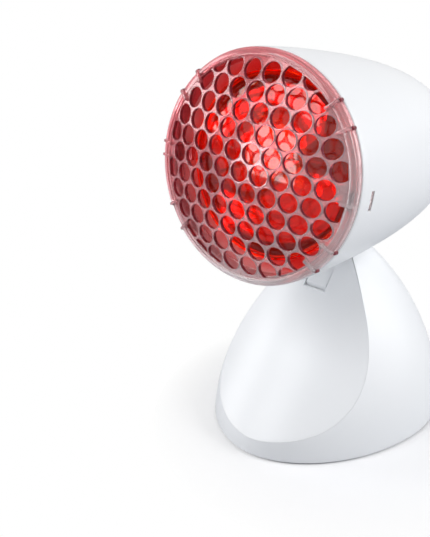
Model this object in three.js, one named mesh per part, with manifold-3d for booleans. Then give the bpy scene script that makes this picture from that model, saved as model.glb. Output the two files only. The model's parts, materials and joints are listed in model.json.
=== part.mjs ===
// Infrared heat therapy lamp: a bell-shaped head with a reflector lamp behind a
// clear moulded guard, tilting on a domed pedestal with a slanted front panel.
// Millimetres, +Z up, the lamp shines towards -Y, the origin is on the floor
// under the middle of the lamp's box.
import * as THREE from "three";
import { mergeVertices } from "three/addons/utils/BufferGeometryUtils.js";
import Module from "manifold-3d";

const wasm = await Module();
wasm.setup();

// Clearances shared by all pieces
const seat = 0.3; // gap between two pieces that rest on each other
const running = 0.15; // radial gap of a shaft that turns in its bore
const overrun = 2; // how far a cutter runs past what it cuts

// Pedestal: a dome on an egg-shaped foot
const domeHalfWidth = 53.7;
const domeFrontDepth = 70.3;
const domeRearDepth = 60;
const domeHeight = 92.3;
const crownOffset = 3; // how far the crown lies behind the foot's widest place
const domeWall = 2.4;
const footRoundPower = 1.88;
const domeHeightPower = 1.84;
const domeTaperPower = 1.2;
const shellLift = 1;
const domeSides = 28;
const domeRingShares = [0, 0.14, 0.29, 0.43, 0.56, 0.68, 0.79, 0.88, 0.94, 0.98];

// Front panel: a slice of a slanted barrel that cuts the dome
const panelToeAhead = 77; // where the panel's plane meets the floor
const panelAhead = 15.573; // from the pivot forwards to the panel, level with the pivot
const panelCurveRadius = 45.7;
const panelWall = 2.2;
const panelSteps = 22;
const slotWidth = 12;
const slotFloorDrop = 3.5; // from the pivot down to the slot's lower edge

// Tilting joint
const pivotOffset = 2; // ahead of the foot's widest place
const pivotDrop = 21.3; // from the dome's crown down to the pivot
const restTilt = THREE.MathUtils.degToRad(9.3);
const tiltStep = THREE.MathUtils.degToRad(8);
const stepsDown = 1;
const stepsUp = 3;
const axleRadius = 3;
const axleHeadRadius = 4.6;
const axleHeadThickness = 1.6;
const jointSides = 16;
const barrelRadius = 8;
const neckClearance = 0.6; // each side of the neck in the slot
const neckLength = 18; // along the lamp's axis
const detentRadius = 9;
const detentThickness = 2.6;
const notchDepth = 0.8;
const notchCount = stepsDown + stepsUp + 1;
const bracketPlateThickness = 2;
const bracketEarThickness = 2.2;
const bracketEarRadius = 7;
const bracketDepth = 18;
const clipThickness = 1;
const clipRadius = 5.4;
const grooveDepth = 0.7;
const shelfDrop = 20; // from the pivot down to the shelf's top
const shelfThickness = 2.4;
const springThickness = 0.5;
const springFootLength = 6;

// Head: a bell turned about the lamp's axis, measured from the guard's nose
const pivotBehindNose = 88.1;
const neckRise = 9.3; // from the pivot up to the line of the bell's mouth
const bulbRoom = 7.3; // between the lamp's widest place and the bell's wall
const rearRoom = 9.15; // between the holder's bracket and the bell's rear end
const bellWall = 2.2;
const bellLengthPower = 1.47;
const bellRoundPower = 4.24;
const bellSides = 28;
const bellSteps = 8;
const bellEndPower = 3; // how closely the rings crowd towards the rear end
const housingClearance = 1.2; // between the dome's saddle and the bell
const apronRadius = 15.3; // of the neck's front, about the axle
const apronTurn = THREE.MathUtils.degToRad(14.5); // from straight ahead down to its upper end
const apronSweep = THREE.MathUtils.degToRad(40);
const apronTop = 7.5; // over the axle
const apronTopAhead = 8.1; // before the axle
const ventCount = 12;
const ventWidth = 2.2;
const ventLength = 13;
const ventSetback = 14; // from the bell's rear end to the vents' middle

// Guard: a clear domed grille with a honeycomb of round holes
const holePitch = 9.31;
const holeRadius = 4.2;
const rimWidth = 3.9; // from the flat sides of the outermost holes to the guard's edge
const guardInset = 0.2; // from the bell's outside in to the guard's edge
const guardBulge = 11.6; // depth of the dome from nose to rim
const guardThickness = 2;
const skirtThickness = 1.6;
const skirtDepth = 5;
const rimBandWidth = 2.4;
const rimBandHeight = 1.3;
const rimBandInset = 0.5;
const tabAngles = [37.5, 142.5, 217.5, 322.5].map(THREE.MathUtils.degToRad);
const tabHalfAngle = THREE.MathUtils.degToRad(7);
const latchHalfAngle = THREE.MathUtils.degToRad(4);
const latchTurn = THREE.MathUtils.degToRad(4.4); // how far each latch sits below the middle
const rimRibThickness = 1;
const rimRibLength = 6; // along the radius, up to the guard's edge
const rimRibHeight = 0.8; // over the rim's face
const nubRadius = 0.9; // small bumps on the rim's edge beside each tab
const rimOverlap = 0.3; // how far the honeycomb plate runs into the rim
const rimProud = 0.15; // how much the rim stands over the plate on each side
const holeSides = 8;
const rimSides = 36;
const latchWidth = 8.4;
const latchSlitLength = 1.8; // along the lamp's axis
const latchBehindMouth = 8.5;
const latchTail = 2.4;

// Reflector lamp with a screw cap
const bulbBehindNose = 14;
const bulbLength = 114;
const bulbRadius = 40;
const lensBulge = 10;
const lensThickness = 2.5;
const glassThickness = 1.6;
const waistRadius = 15.5;
const lensDomeShare = 0.96; // how much of a half ellipse the lens front takes
const reflectorPower = 1.15;
const rimFlat = 3;
const capRadius = 13.1;
const capLength = 25;
const capWall = 0.5;
const contactRadius = 4.5;
const contactHeight = 2.5;
const insulatorThickness = 2.2;
const stemLength = 26;
const stemRadius = 5;
const leadRadius = 0.7;
const leadLength = 18;
const filamentSpan = 17;
const filamentRadius = 1.1;
const filamentRise = 5;
const bulbSides = 20;

// Lamp holder and its fixing
const sleeveWall = 0.8;
const holderWall = 4;
const holderLength = 30;
const holderNeckRadius = 13.5;
const holderNeckLength = 5;
const springPlateThickness = 0.6;
const springPlateRadius = 6;
const holderBracketHalfLength = 20;
const holderBracketWidth = 13;
const holderBracketThickness = 1.2;
const holderScrewOffset = 16.9;
const bossRadius = 3.2;

// Screws, feet and what is on the bottom plate
const screwRadius = 1.3;
const screwHeadRadius = 2.4;
const screwHeadHeight = 1.3;
const screwLength = 8;
const footPadRadius = 7;
const footPadHeight = 2;
const footPadInset = 15; // from the foot's outline to a pad's middle
const footPadTurnShares = [0.115, 0.385, 0.63, 0.87]; // of a full turn round the foot
const plateThickness = 2;
const footBossRadius = 4.4;
const footBossHeight = 14;
const screwTurnShares = [0.07, 0.43, 0.58, 0.92]; // of a full turn round the foot
const glandHeight = 13;
const glandBoreRadius = 3.2;
const glandWaistRadius = 5;
const glandFlangeRadius = 7.4;
const glandFlangeThickness = 1.6;
const glandBossRadius = 8.6;
const terminalWidth = 24;
const terminalDepth = 15;
const terminalHeight = 12;
const terminalSetback = 24;
const terminalHoleRadius = 1.7;

// Derived places
const latchAngles = [-latchTurn, Math.PI + latchTurn];
const pivotPlace = -pivotOffset;
const pivotHeight = domeHeight - pivotDrop;
const slotFloorHeight = pivotHeight - slotFloorDrop;
// Backwards run of the panel's face for each unit of height
const panelLean = (panelToeAhead - panelAhead - pivotOffset) / pivotHeight;
const shelfTopHeight = pivotHeight - shelfDrop;
const neckWidth = slotWidth - 2 * neckClearance;
const plateBottom = footPadHeight + seat;
const plateTop = plateBottom + plateThickness;
const shelfBottom = shelfTopHeight - shelfThickness;
const bracketBottom = shelfTopHeight + seat;
const earInside = neckWidth / 2 + detentThickness + 2 * seat;
const earOutside = earInside + bracketEarThickness;
const mouthBehindNose = guardBulge + guardThickness + rimProud + seat;
const bellRadius = bulbRadius + bulbRoom + bellWall;
const guardRadius = bellRadius - guardInset;
const honeycombRadius = guardRadius - rimWidth;
const axisAbovePivot = bellRadius + neckRise;
const capEnd = bulbBehindNose + bulbLength - contactHeight;
const capStart = capEnd - capLength;
const holderBack = capEnd + contactHeight + seat + springPlateThickness + seat + holderWall;
const holderStart = holderBack - holderLength;
const bracketStart = holderBack + seat;
const bracketEnd = bracketStart + holderBracketThickness;
const bellEnd = bracketEnd + rearRoom;
const bellLength = bellEnd - mouthBehindNose;

const materials = {
  housing: new THREE.MeshStandardMaterial({ color: 0xf2f4f6, roughness: 0.25, metalness: 0 }),
  clear: new THREE.MeshStandardMaterial({ color: 0xf0c4c8, roughness: 0.08, metalness: 0,
    transparent: true, opacity: 0.6 }),
  redGlass: new THREE.MeshStandardMaterial({ color: 0xd01808, roughness: 0.06, metalness: 0 }),
  mirrorGlass: new THREE.MeshStandardMaterial({ color: 0xb03028, roughness: 0.15, metalness: 0.3 }),
  brass: new THREE.MeshStandardMaterial({ color: 0xc9a24b, roughness: 0.35, metalness: 1 }),
  steel: new THREE.MeshStandardMaterial({ color: 0xb8bcc0, roughness: 0.35, metalness: 1 }),
  tungsten: new THREE.MeshStandardMaterial({ color: 0x8a8c90, roughness: 0.5, metalness: 1 }),
  ceramic: new THREE.MeshStandardMaterial({ color: 0xece8df, roughness: 0.4, metalness: 0 }),
  nylon: new THREE.MeshStandardMaterial({ color: 0xd9dbd6, roughness: 0.5, metalness: 0 }),
  rubber: new THREE.MeshStandardMaterial({ color: 0x8e9194, roughness: 0.8, metalness: 0 }),
  black: new THREE.MeshStandardMaterial({ color: 0x1c1c1e, roughness: 0.3, metalness: 0 }),
};

// A closed three.js geometry as a solid, its faces pointing out
function solid(geometry) {
  const bare = geometry.clone();
  bare.deleteAttribute("normal");
  bare.deleteAttribute("uv");
  const merged = mergeVertices(bare);
  const place = merged.attributes.position;
  const corners = [];
  for (let i = 0; i < merged.index.count; i += 3) {
    const [a, b, c] = [0, 1, 2].map((k) => merged.index.getX(i + k));
    if (a !== b && b !== c && c !== a) corners.push([a, b, c]);
  }
  const point = (i) => new THREE.Vector3().fromBufferAttribute(place, i);
  const volume = corners.reduce((sum, [a, b, c]) => sum + point(a).dot(point(b).cross(point(c))), 0);
  const triangles = volume > 0 ? corners : corners.map(([a, b, c]) => [a, c, b]);
  return new wasm.Manifold(new wasm.Mesh({
    numProp: 3,
    vertProperties: new Float32Array(place.array),
    triVerts: new Uint32Array(triangles.flat()),
  }));
}

function geometryOf(shape) {
  const mesh = shape.getMesh();
  const geometry = new THREE.BufferGeometry();
  geometry.setAttribute("position", new THREE.BufferAttribute(new Float32Array(mesh.vertProperties), 3));
  geometry.setIndex(new THREE.BufferAttribute(new Uint32Array(mesh.triVerts), 1));
  geometry.computeVertexNormals();
  return geometry;
}

const cut = (body, ...tools) => tools.reduce((left, tool) => left.subtract(tool), body);
const join = (body, ...others) => others.reduce((sum, other) => sum.add(other), body);

function addPiece(group, name, shape, material) {
  const mesh = new THREE.Mesh(geometryOf(shape), material);
  mesh.name = name;
  group.add(mesh);
  return mesh;
}

// A box between two corners
function block(low, high) {
  const size = high.map((value, i) => value - low[i]);
  const geometry = new THREE.BoxGeometry(...size);
  geometry.translate(...low.map((value, i) => value + size[i] / 2));
  return solid(geometry);
}

// A round bar from start to end along X, Y or Z, with the other two places given
function rod(axis, radius, start, end, [first, second], sides = 20) {
  const geometry = new THREE.CylinderGeometry(radius, radius, end - start, sides);
  const middle = (start + end) / 2;
  if (axis === "x") geometry.rotateZ(Math.PI / 2).translate(middle, first, second);
  if (axis === "y") geometry.translate(first, middle, second);
  if (axis === "z") geometry.rotateX(Math.PI / 2).translate(first, second, middle);
  return solid(geometry);
}

// A profile of [radius, place along Y] points turned about the Y axis
function turned(profile, sides) {
  return solid(new THREE.LatheGeometry(profile.map(([r, y]) => new THREE.Vector2(r, y)), sides));
}

// A closed skin over rings that all have the same number of points
function loft(rings) {
  const count = rings[0].length;
  const points = rings.flat();
  const indices = [];
  rings.slice(1).forEach((_, row) => {
    for (let i = 0; i < count; i += 1) {
      const next = (i + 1) % count;
      const [a, b, c, d] = [row * count + i, row * count + next, (row + 1) * count + next,
        (row + 1) * count + i];
      indices.push(a, b, c, a, c, d);
    }
  });
  [[rings[0], 0, true], [rings.at(-1), (rings.length - 1) * count, false]].forEach(([ring, base, flip]) => {
    const centre = ring.reduce((sum, p) => sum.add(p), new THREE.Vector3()).divideScalar(count);
    const hub = points.push(centre) - 1;
    for (let i = 0; i < count; i += 1) {
      const pair = [base + i, base + ((i + 1) % count)];
      indices.push(hub, ...(flip ? pair.reverse() : pair));
    }
  });
  const geometry = new THREE.BufferGeometry().setFromPoints(points);
  geometry.setIndex(indices);
  return solid(geometry);
}

// Pedestal

// How much of the foot's outline is left at a height
function domeShare(height) {
  const share = Math.min(Math.max(height, 0) / domeHeight, 1);
  return (1 - share ** domeHeightPower) ** (1 / domeTaperPower);
}

// One level outline of the dome, drawn in by a wall
function domeRing(height, wall, level = height) {
  const share = domeShare(height);
  const setback = crownOffset * (Math.max(height, 0) / domeHeight) ** 2;
  const ring = [];
  for (let i = 0; i < domeSides; i += 1) {
    const turn = (2 * Math.PI * i) / domeSides;
    const [c, s] = [Math.cos(turn), Math.sin(turn)];
    const depth = s < 0 ? domeFrontDepth : domeRearDepth;
    const power = 2 / footRoundPower;
    const x = (domeHalfWidth * share - wall) * Math.sign(c) * Math.abs(c) ** power;
    const y = (depth * share - wall) * Math.sign(s) * Math.abs(s) ** power;
    ring.push(new THREE.Vector3(x, y + setback, level));
  }
  return ring;
}

function domeSolid() {
  return loft(domeRingShares.map((share) => {
    const height = shellLift + share * (domeHeight - shellLift);
    return domeRing(height, 0);
  }));
}

// The hollow inside the dome, open at the foot
function domeHollow() {
  const reach = domeRingShares.map((share) => shellLift + share * (domeHeight - shellLift));
  const rings = reach.filter((height) => domeHalfWidth * domeShare(height) > 3 * domeWall)
    .map((height) => {
      const drop = height > shellLift ? domeWall * (height / domeHeight) : 0;
      return domeRing(height, domeWall, height - drop);
    });
  return loft([domeRing(shellLift, domeWall, shellLift - overrun), ...rings]);
}

// All that lies in front of the panel's barrel, moved back by an offset
function aheadOfPanel(offset) {
  const reach = domeHalfWidth + overrun;
  const front = -panelToeAhead - domeFrontDepth;
  const ringAt = (height) => {
    const ring = [new THREE.Vector3(reach, front, height), new THREE.Vector3(-reach, front, height)];
    for (let i = 0; i <= panelSteps; i += 1) {
      const x = reach * ((2 * i) / panelSteps - 1);
      const y = -panelToeAhead + panelLean * height + (x * x) / (2 * panelCurveRadius) + offset;
      ring.push(new THREE.Vector3(x, y, height));
    }
    return ring;
  };
  return loft([ringAt(-overrun), ringAt(domeHeight + overrun)]);
}

// The bell and its clearance, in the head's frame with the nose at the origin
function bellOutline(radius, length) {
  const points = [];
  for (let i = 0; i <= bellSteps; i += 1) {
    const share = 1 - (1 - i / bellSteps) ** bellEndPower;
    const r = radius * (1 - share ** bellLengthPower) ** (1 / bellRoundPower);
    points.push([i === bellSteps ? 0 : r, mouthBehindNose + share * length]);
  }
  return points;
}

// Puts a solid of the head's frame where the head stands at a tilt past rest
function headPlaced(shape, tilt) {
  const turn = new THREE.Matrix4().makeRotationX(-(restTilt + tilt));
  const matrix = new THREE.Matrix4().makeTranslation(0, pivotPlace, pivotHeight)
    .multiply(turn)
    .multiply(new THREE.Matrix4().makeTranslation(0, -pivotBehindNose, axisAbovePivot));
  const moved = geometryOf(shape);
  moved.applyMatrix4(matrix);
  return solid(moved);
}

// What the bell sweeps through between its lowest and highest step
function bellSweep() {
  const grown = bellOutline(bellRadius + housingClearance, bellLength + housingClearance);
  const bell = turned([[0, mouthBehindNose - guardBulge],
    [bellRadius + housingClearance, mouthBehindNose - guardBulge],
    ...grown], bellSides / 2);
  const turns = [];
  for (let step = -stepsDown; step <= stepsUp; step += 1) turns.push(headPlaced(bell, step * tiltStep));
  return join(...turns);
}

// The groove that the neck swings in, from the panel's face to behind the pivot
function neckSlot(width, floor) {
  const rear = pivotPlace + neckLength / 2 + barrelRadius;
  return block([-width / 2, -panelToeAhead, floor], [width / 2, rear, domeHeight + overrun]);
}

// A place a little inside the foot's outline, a share of a turn round it
function footPlace(turnShare, inset) {
  const turn = 2 * Math.PI * turnShare;
  const [c, s] = [Math.cos(turn), Math.sin(turn)];
  const depth = s < 0 ? domeFrontDepth : domeRearDepth;
  const power = 2 / footRoundPower;
  return [
    (domeHalfWidth - inset) * Math.sign(c) * Math.abs(c) ** power,
    (depth - inset) * Math.sign(s) * Math.abs(s) ** power,
  ];
}

function screwPlaces() {
  return screwTurnShares.map((share) => footPlace(share, domeWall + footBossRadius - seat));
}

function padPlaces() {
  return footPadTurnShares.map((share) => footPlace(share, footPadInset));
}

// The flat faces, inside and outside, of the boss that the gland sits in
function glandSeats() {
  const insideFace = rearOfDome(glandHeight + glandBossRadius) - domeWall - seat;
  const outsideFace = rearOfDome(glandHeight - glandBossRadius) + seat;
  return [insideFace, outsideFace];
}

const sweep = bellSweep();
const dome = domeSolid();
const hollow = domeHollow();

function rearOfDome(height) {
  return domeRearDepth * domeShare(height) + crownOffset * (height / domeHeight) ** 2;
}

function baseShell() {
  const shelf = block([-domeHalfWidth, -domeFrontDepth, shelfBottom],
    [domeHalfWidth, domeRearDepth, shelfTopHeight]);
  const wiring = rod("z", terminalHeight / 2, shelfBottom - overrun, shelfTopHeight + overrun,
    [0, bracketDepth]);
  const walls = cut(dome, hollow);
  const bosses = screwPlaces().map(([x, y]) => rod("z", footBossRadius, plateTop + seat,
    plateTop + footBossHeight, [x, y], 16)
    .intersect(dome));
  const pilots = screwPlaces().map(([x, y]) => rod("z", screwRadius + seat, plateTop,
    plateTop + screwLength + seat, [x, y], 10));
  const bracketHoles = bracketScrewPlaces().map(([x, y]) =>
    rod("z", screwRadius + seat, shelfBottom - overrun,
    shelfTopHeight + overrun, [x, y], 10));
  const glandHole = rod("y", glandWaistRadius + seat, 0, domeRearDepth + overrun, [0, glandHeight]);
  const [bossInside, bossOutside] = glandSeats();
  const glandBoss = rod("y", glandBossRadius, bossInside, bossOutside, [0, glandHeight], 24);
  const framed = join(walls, shelf.intersect(dome), glandBoss, ...bosses);
  return cut(framed, aheadOfPanel(panelWall + seat), neckSlot(slotWidth, slotFloorHeight), sweep, wiring,
    glandHole,
    ...pilots, ...bracketHoles);
}

function frontPanel() {
  const slab = cut(dome, aheadOfPanel(0)).intersect(aheadOfPanel(panelWall));
  return cut(slab, neckSlot(slotWidth, slotFloorHeight), sweep);
}

function bottomPlate() {
  const outline = [plateBottom, plateTop].map((level) =>
    domeRing(shellLift + plateThickness, domeWall + 3 * seat, level));
  const plate = cut(loft(outline), aheadOfPanel(panelWall + 2 * seat));
  return cut(plate, ...screwPlaces().map(([x, y]) =>
    rod("z", screwRadius + seat, 0, plateTop + overrun, [x, y], 10)));
}

// A cheese-head screw along Z, its head's underside at a level, pointing up or down
function screwUp([x, y], level) {
  return join(rod("z", screwHeadRadius, level - screwHeadHeight, level, [x, y], 12),
    rod("z", screwRadius, level - screwHeadHeight, level + screwLength, [x, y], 8));
}

function screwDown([x, y], level, length) {
  return join(rod("z", screwHeadRadius, level, level + screwHeadHeight, [x, y], 12),
    rod("z", screwRadius, level - length, level + screwHeadHeight, [x, y], 8));
}

// Tilting joint

function bracketScrewPlaces() {
  return [-1, 1].map((hand) => [hand * (earOutside + screwHeadRadius + 1.5 * seat),
    pivotPlace + bracketDepth / 4]);
}

function tiltBracket() {
  const wide = earOutside + 2 * screwHeadRadius + 3 * seat;
  const [front, rear] = [pivotPlace - bracketEarRadius, pivotPlace - bracketEarRadius + bracketDepth];
  const plate = block([-wide, front, bracketBottom], [wide, rear, bracketBottom + bracketPlateThickness]);
  const ears = [-1, 1].map((hand) => {
    const [low, high] = [earInside, earOutside].map((x) => hand * x).sort((a, b) => a - b);
    const web = block([low, front, bracketBottom], [high, front + 2 * bracketEarRadius, pivotHeight]);
    return join(web, rod("x", bracketEarRadius, low, high, [pivotPlace, pivotHeight], jointSides));
  });
  const bore = rod("x", axleRadius + running, -wide, wide, [pivotPlace, pivotHeight], jointSides);
  const holes = bracketScrewPlaces().map(([x, y]) => rod("z", screwRadius + seat, bracketBottom - overrun,
    bracketBottom + overrun + bracketPlateThickness, [x, y], 10));
  const wiring = rod("z", terminalHeight / 4, bracketBottom - overrun,
    bracketBottom + overrun + bracketPlateThickness,
    [0, rear - terminalHeight / 4 - bracketPlateThickness]);
  return cut(join(plate, ...ears), bore, wiring, ...holes);
}

function tiltAxle() {
  const centre = [pivotPlace, pivotHeight];
  const end = earOutside + 2 * seat + 2 * clipThickness;
  const shaft = rod("x", axleRadius, -earOutside - seat - axleHeadThickness, end, centre, jointSides);
  const head = rod("x", axleHeadRadius, -earOutside - seat - axleHeadThickness, -earOutside - seat,
    centre, jointSides);
  const groove = cut(rod("x", axleRadius + overrun, earOutside + seat,
    earOutside + 2 * seat + clipThickness + seat / 2, centre, jointSides),
    rod("x", axleRadius - grooveDepth, 0, end + overrun, centre, jointSides));
  return cut(join(shaft, head), groove);
}

// A ring open at the top that snaps into the axle's groove
function axleClip() {
  const [start, end] = [earOutside + 1.5 * seat, earOutside + 1.5 * seat + clipThickness];
  const centre = [pivotPlace, pivotHeight];
  const inner = axleRadius - grooveDepth + running;
  const mouth = block([0, pivotPlace - inner, pivotHeight],
    [end + overrun, pivotPlace + inner, pivotHeight + clipRadius + overrun]);
  return cut(rod("x", clipRadius, start, end, centre, jointSides),
    rod("x", inner, 0, end + overrun, centre, jointSides), mouth);
}

function axleSpacer() {
  const centre = [pivotPlace, pivotHeight];
  const [start, end] = [-neckWidth / 2 - seat - detentThickness + seat, -neckWidth / 2 - seat];
  return cut(rod("x", axleHeadRadius, start, end, centre, jointSides),
    rod("x", axleRadius + running, start - overrun, end + overrun, centre, jointSides));
}

// A disc with one notch for each tilt step, square to the neck's barrel
function detentWheel() {
  const outline = new THREE.Shape();
  const down = -Math.PI / 2;
  const half = ((notchCount + 1) / 2) * tiltStep;
  const places = [];
  for (let i = 0; i < notchCount; i += 1) {
    const middle = down + (i - (notchCount - 1) / 2) * tiltStep;
    places.push([middle - tiltStep / 2, detentRadius], [middle, detentRadius - notchDepth]);
  }
  places.push([down + half - tiltStep / 2, detentRadius]);
  const arcSteps = 20;
  for (let i = 1; i < arcSteps; i += 1) {
    places.push([down + half + ((2 * Math.PI - 2 * half) * i) / arcSteps, detentRadius]);
  }
  const corners = places.map(([turn, r]) => new THREE.Vector2(r * Math.cos(turn), r * Math.sin(turn)));
  outline.setFromPoints(corners);
  const geometry = new THREE.ExtrudeGeometry(outline, { depth: detentThickness, bevelEnabled: false });
  geometry.applyMatrix4(new THREE.Matrix4().makeBasis(
    new THREE.Vector3(0, 1, 0),
    new THREE.Vector3(0, 0, 1),
    new THREE.Vector3(1, 0, 0),
  ));
  geometry.translate(neckWidth / 2 + seat, pivotBehindNose, -axisAbovePivot);
  const bore = rod("x", axleRadius + running, 0, earOutside, [pivotBehindNose, -axisAbovePivot],
    jointSides);
  return cut(solid(geometry), bore);
}

// A leaf bent up from its foot on the bracket to a rounded nose under the notches
function detentSpring() {
  const noseTop = pivotHeight - detentRadius - seat;
  const foot = bracketBottom + bracketPlateThickness + seat;
  const front = pivotPlace - bracketEarRadius + seat;
  const half = springThickness / 2;
  const spine = [
    [front, foot + half],
    [front + springFootLength / 2, foot + half],
    [pivotPlace - springThickness, (foot + noseTop) / 2],
    [pivotPlace, noseTop - half],
    [pivotPlace + springThickness, (foot + noseTop) / 2],
    [pivotPlace + springFootLength / 2, foot + 2 * springThickness],
  ].map(([y, z]) => new THREE.Vector2(y, z));
  const curve = new THREE.SplineCurve(spine).getPoints(14);
  const side = (sign) => curve.map((p, i) => {
    const next = curve[Math.min(i + 1, curve.length - 1)];
    const ahead = next.clone().sub(curve[Math.max(i - 1, 0)]).normalize();
    return new THREE.Vector2(p.x - sign * half * ahead.y, p.y + sign * half * ahead.x);
  });
  const outline = new THREE.Shape([...side(1), ...side(-1).reverse()]);
  const geometry = new THREE.ExtrudeGeometry(outline,
    { depth: detentThickness - seat, bevelEnabled: false });
  geometry.applyMatrix4(new THREE.Matrix4().makeBasis(
    new THREE.Vector3(0, 1, 0),
    new THREE.Vector3(0, 0, 1),
    new THREE.Vector3(1, 0, 0),
  ));
  geometry.translate(neckWidth / 2 + seat, 0, 0);
  return solid(geometry);
}

// Rubber bush in the rear wall that a mains lead would leave through
function cordGland() {
  const [bossInside, bossOutside] = glandSeats();
  const [inside, outside] = [bossInside - seat, bossOutside + seat];
  const bush = turned([
    [glandBoreRadius, inside - glandFlangeThickness],
    [glandFlangeRadius, inside - glandFlangeThickness],
    [glandFlangeRadius, inside],
    [glandWaistRadius, inside],
    [glandWaistRadius, outside],
    [glandFlangeRadius, outside],
    [glandWaistRadius, outside + glandFlangeThickness],
    [glandBoreRadius, outside + glandFlangeThickness],
    [glandBoreRadius, inside - glandFlangeThickness],
  ], 16);
  return bush.translate([0, 0, glandHeight]);
}

function terminalBlock() {
  const [low, high] = [terminalSetback, terminalSetback + terminalDepth];
  const body = block([-terminalWidth / 2, low, plateTop + seat],
    [terminalWidth / 2, high, plateTop + seat + terminalHeight]);
  const lanes = [-1, 1].map((hand) => (hand * terminalWidth) / 4);
  const wires = lanes.map((x) => rod("y", terminalHoleRadius, low - overrun, high + overrun,
    [x, plateTop + seat + terminalHeight / 2], 8));
  const heads = lanes.flatMap((x) => [0.28, 0.72].map((share) =>
    rod("z", terminalHoleRadius, plateTop + terminalHeight / 2,
    plateTop + terminalHeight + overrun, [x, low + share * terminalDepth], 8)));
  return cut(body, ...wires, ...heads);
}

// Head

function housingShell() {
  const outer = bellOutline(bellRadius, bellLength);
  const inner = bellOutline(bellRadius - bellWall, bellLength - bellWall);
  const bell = turned([...outer, ...inner.reverse(), outer[0]], bellSides);
  const pivot = [pivotBehindNose, -axisAbovePivot];
  const share = (pivotBehindNose - mouthBehindNose) / bellLength;
  const skin = bellRadius * (1 - share ** bellLengthPower) ** (1 / bellRoundPower);
  const neckTop = -(skin - bellWall / 2);
  const barrel = rod("x", barrelRadius, -neckWidth / 2, neckWidth / 2, pivot, 28);
  const neck = block([-neckWidth / 2, pivot[0] - neckLength / 2, pivot[1]],
    [neckWidth / 2, pivot[0] + neckLength / 2, neckTop]);
  const heel = cut(neck, ...[-1, 1].map((hand) => rod("x", barrelRadius, -neckWidth, neckWidth,
    [pivot[0] + hand * (neckLength / 2 + barrelRadius / 2), pivot[1]], 28)));
  const bosses = [-1, 1].map((hand) => cut(rod("y", bossRadius, bracketEnd + seat, bellEnd,
    [hand * holderScrewOffset, 0], 16)
    .intersect(turned([[0, mouthBehindNose], ...outer], bellSides)),
  rod("y", screwRadius + seat, 0, bracketEnd + seat + screwLength / 2, [hand * holderScrewOffset, 0], 12)));
  const bore = rod("x", axleRadius + running, -neckWidth, neckWidth, pivot, 24);
  return cut(join(bell, barrel, heel, neckApron(pivot), ...bosses), bore, ...latchSlits(), ...vents());
}

// The neck's front, which fills the panel's slot: an arc about the axle with a slanted face over it
function neckApron(pivot) {
  const steps = 6;
  const outline = new THREE.Shape(Array.from({ length: steps + 1 }, (_, i) => {
    const turn = apronTurn + (apronSweep * i) / steps;
    return new THREE.Vector2(-apronRadius * Math.cos(turn), -apronRadius * Math.sin(turn));
  }));
  outline.lineTo(-barrelRadius / 2, -barrelRadius / 2);
  outline.lineTo(-barrelRadius / 2, apronTop);
  outline.lineTo(-apronTopAhead, apronTop);
  const geometry = new THREE.ExtrudeGeometry(outline, { depth: neckWidth, bevelEnabled: false });
  geometry.applyMatrix4(new THREE.Matrix4().makeBasis(
    new THREE.Vector3(0, 1, 0),
    new THREE.Vector3(0, 0, 1),
    new THREE.Vector3(1, 0, 0),
  ));
  return solid(geometry.translate(-neckWidth / 2, ...pivot));
}

// One slit in each side of the bell for a latch's tongue
function latchSlits() {
  const slitStart = mouthBehindNose + latchBehindMouth;
  const low = [bellRadius / 2, slitStart, -latchWidth / 2];
  const high = [bellRadius + overrun, slitStart + latchSlitLength, latchWidth / 2];
  return latchAngles.map((turn) => block(low, high).rotate([0, -THREE.MathUtils.radToDeg(turn), 0]));
}

// Slots through the bell's rear, like the spokes of a wheel
function vents() {
  const middle = bellEnd - ventSetback;
  const share = (middle - mouthBehindNose) / bellLength;
  const radius = bellRadius * (1 - share ** bellLengthPower) ** (1 / bellRoundPower);
  return Array.from({ length: ventCount }, (_, i) => {
    const turn = new THREE.Matrix4().makeRotationY(((i + 0.5) * 2 * Math.PI) / ventCount);
    const geometry = new THREE.BoxGeometry(ventWidth, ventLength, radius);
    geometry.translate(0, middle, radius);
    geometry.applyMatrix4(turn);
    return solid(geometry);
  });
}

// Centres of the honeycomb's holes, without the two places taken by the latches
function holeCentres() {
  const centres = [];
  const reach = Math.ceil(honeycombRadius / holePitch) + 1;
  for (let row = -reach; row <= reach; row += 1) {
    for (let column = -reach * 2; column <= reach * 2; column += 1) {
      const centre = new THREE.Vector2(column + row / 2,
        (row * Math.sqrt(3)) / 2).multiplyScalar(holePitch);
      const inside = centre.length() < honeycombRadius + holeRadius / 2;
      const atLatch = Math.abs(centre.y) < holeRadius && centre.length() > honeycombRadius;
      if (inside && !atLatch) centres.push(centre);
    }
  }
  return centres;
}

// A round hole, or a D-shaped one where the honeycomb's edge cuts it
function holePath(centre) {
  const distance = centre.length();
  const outwards = Math.atan2(centre.y, centre.x);
  const cosine = (honeycombRadius - distance) / holeRadius;
  const half = cosine < 1 ? Math.acos(Math.max(cosine, -1)) : 0;
  const points = [];
  const steps = holeSides - (half > 0 ? 2 : 0);
  const last = half > 0 ? steps : steps - 1;
  for (let i = 0; i <= last; i += 1) {
    const turn = outwards + half + ((2 * Math.PI - 2 * half) * i) / steps;
    points.push(new THREE.Vector2(centre.x + holeRadius * Math.cos(turn),
      centre.y + holeRadius * Math.sin(turn)));
  }
  return new THREE.Path(points);
}

// Depth of the guard's dome behind its nose at a radius
function guardDepth(radius) {
  return guardBulge * (radius / guardRadius) ** 2;
}

// Lays a flat plate drawn in X and Y onto the guard's dome, nose at the origin
function domed(geometry) {
  const place = geometry.attributes.position;
  for (let i = 0; i < place.count; i += 1) {
    const [x, z, depth] = [place.getX(i), place.getY(i), place.getZ(i)];
    place.setXYZ(i, x, guardDepth(Math.hypot(x, z)) + depth, z);
  }
  return geometry;
}

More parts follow.
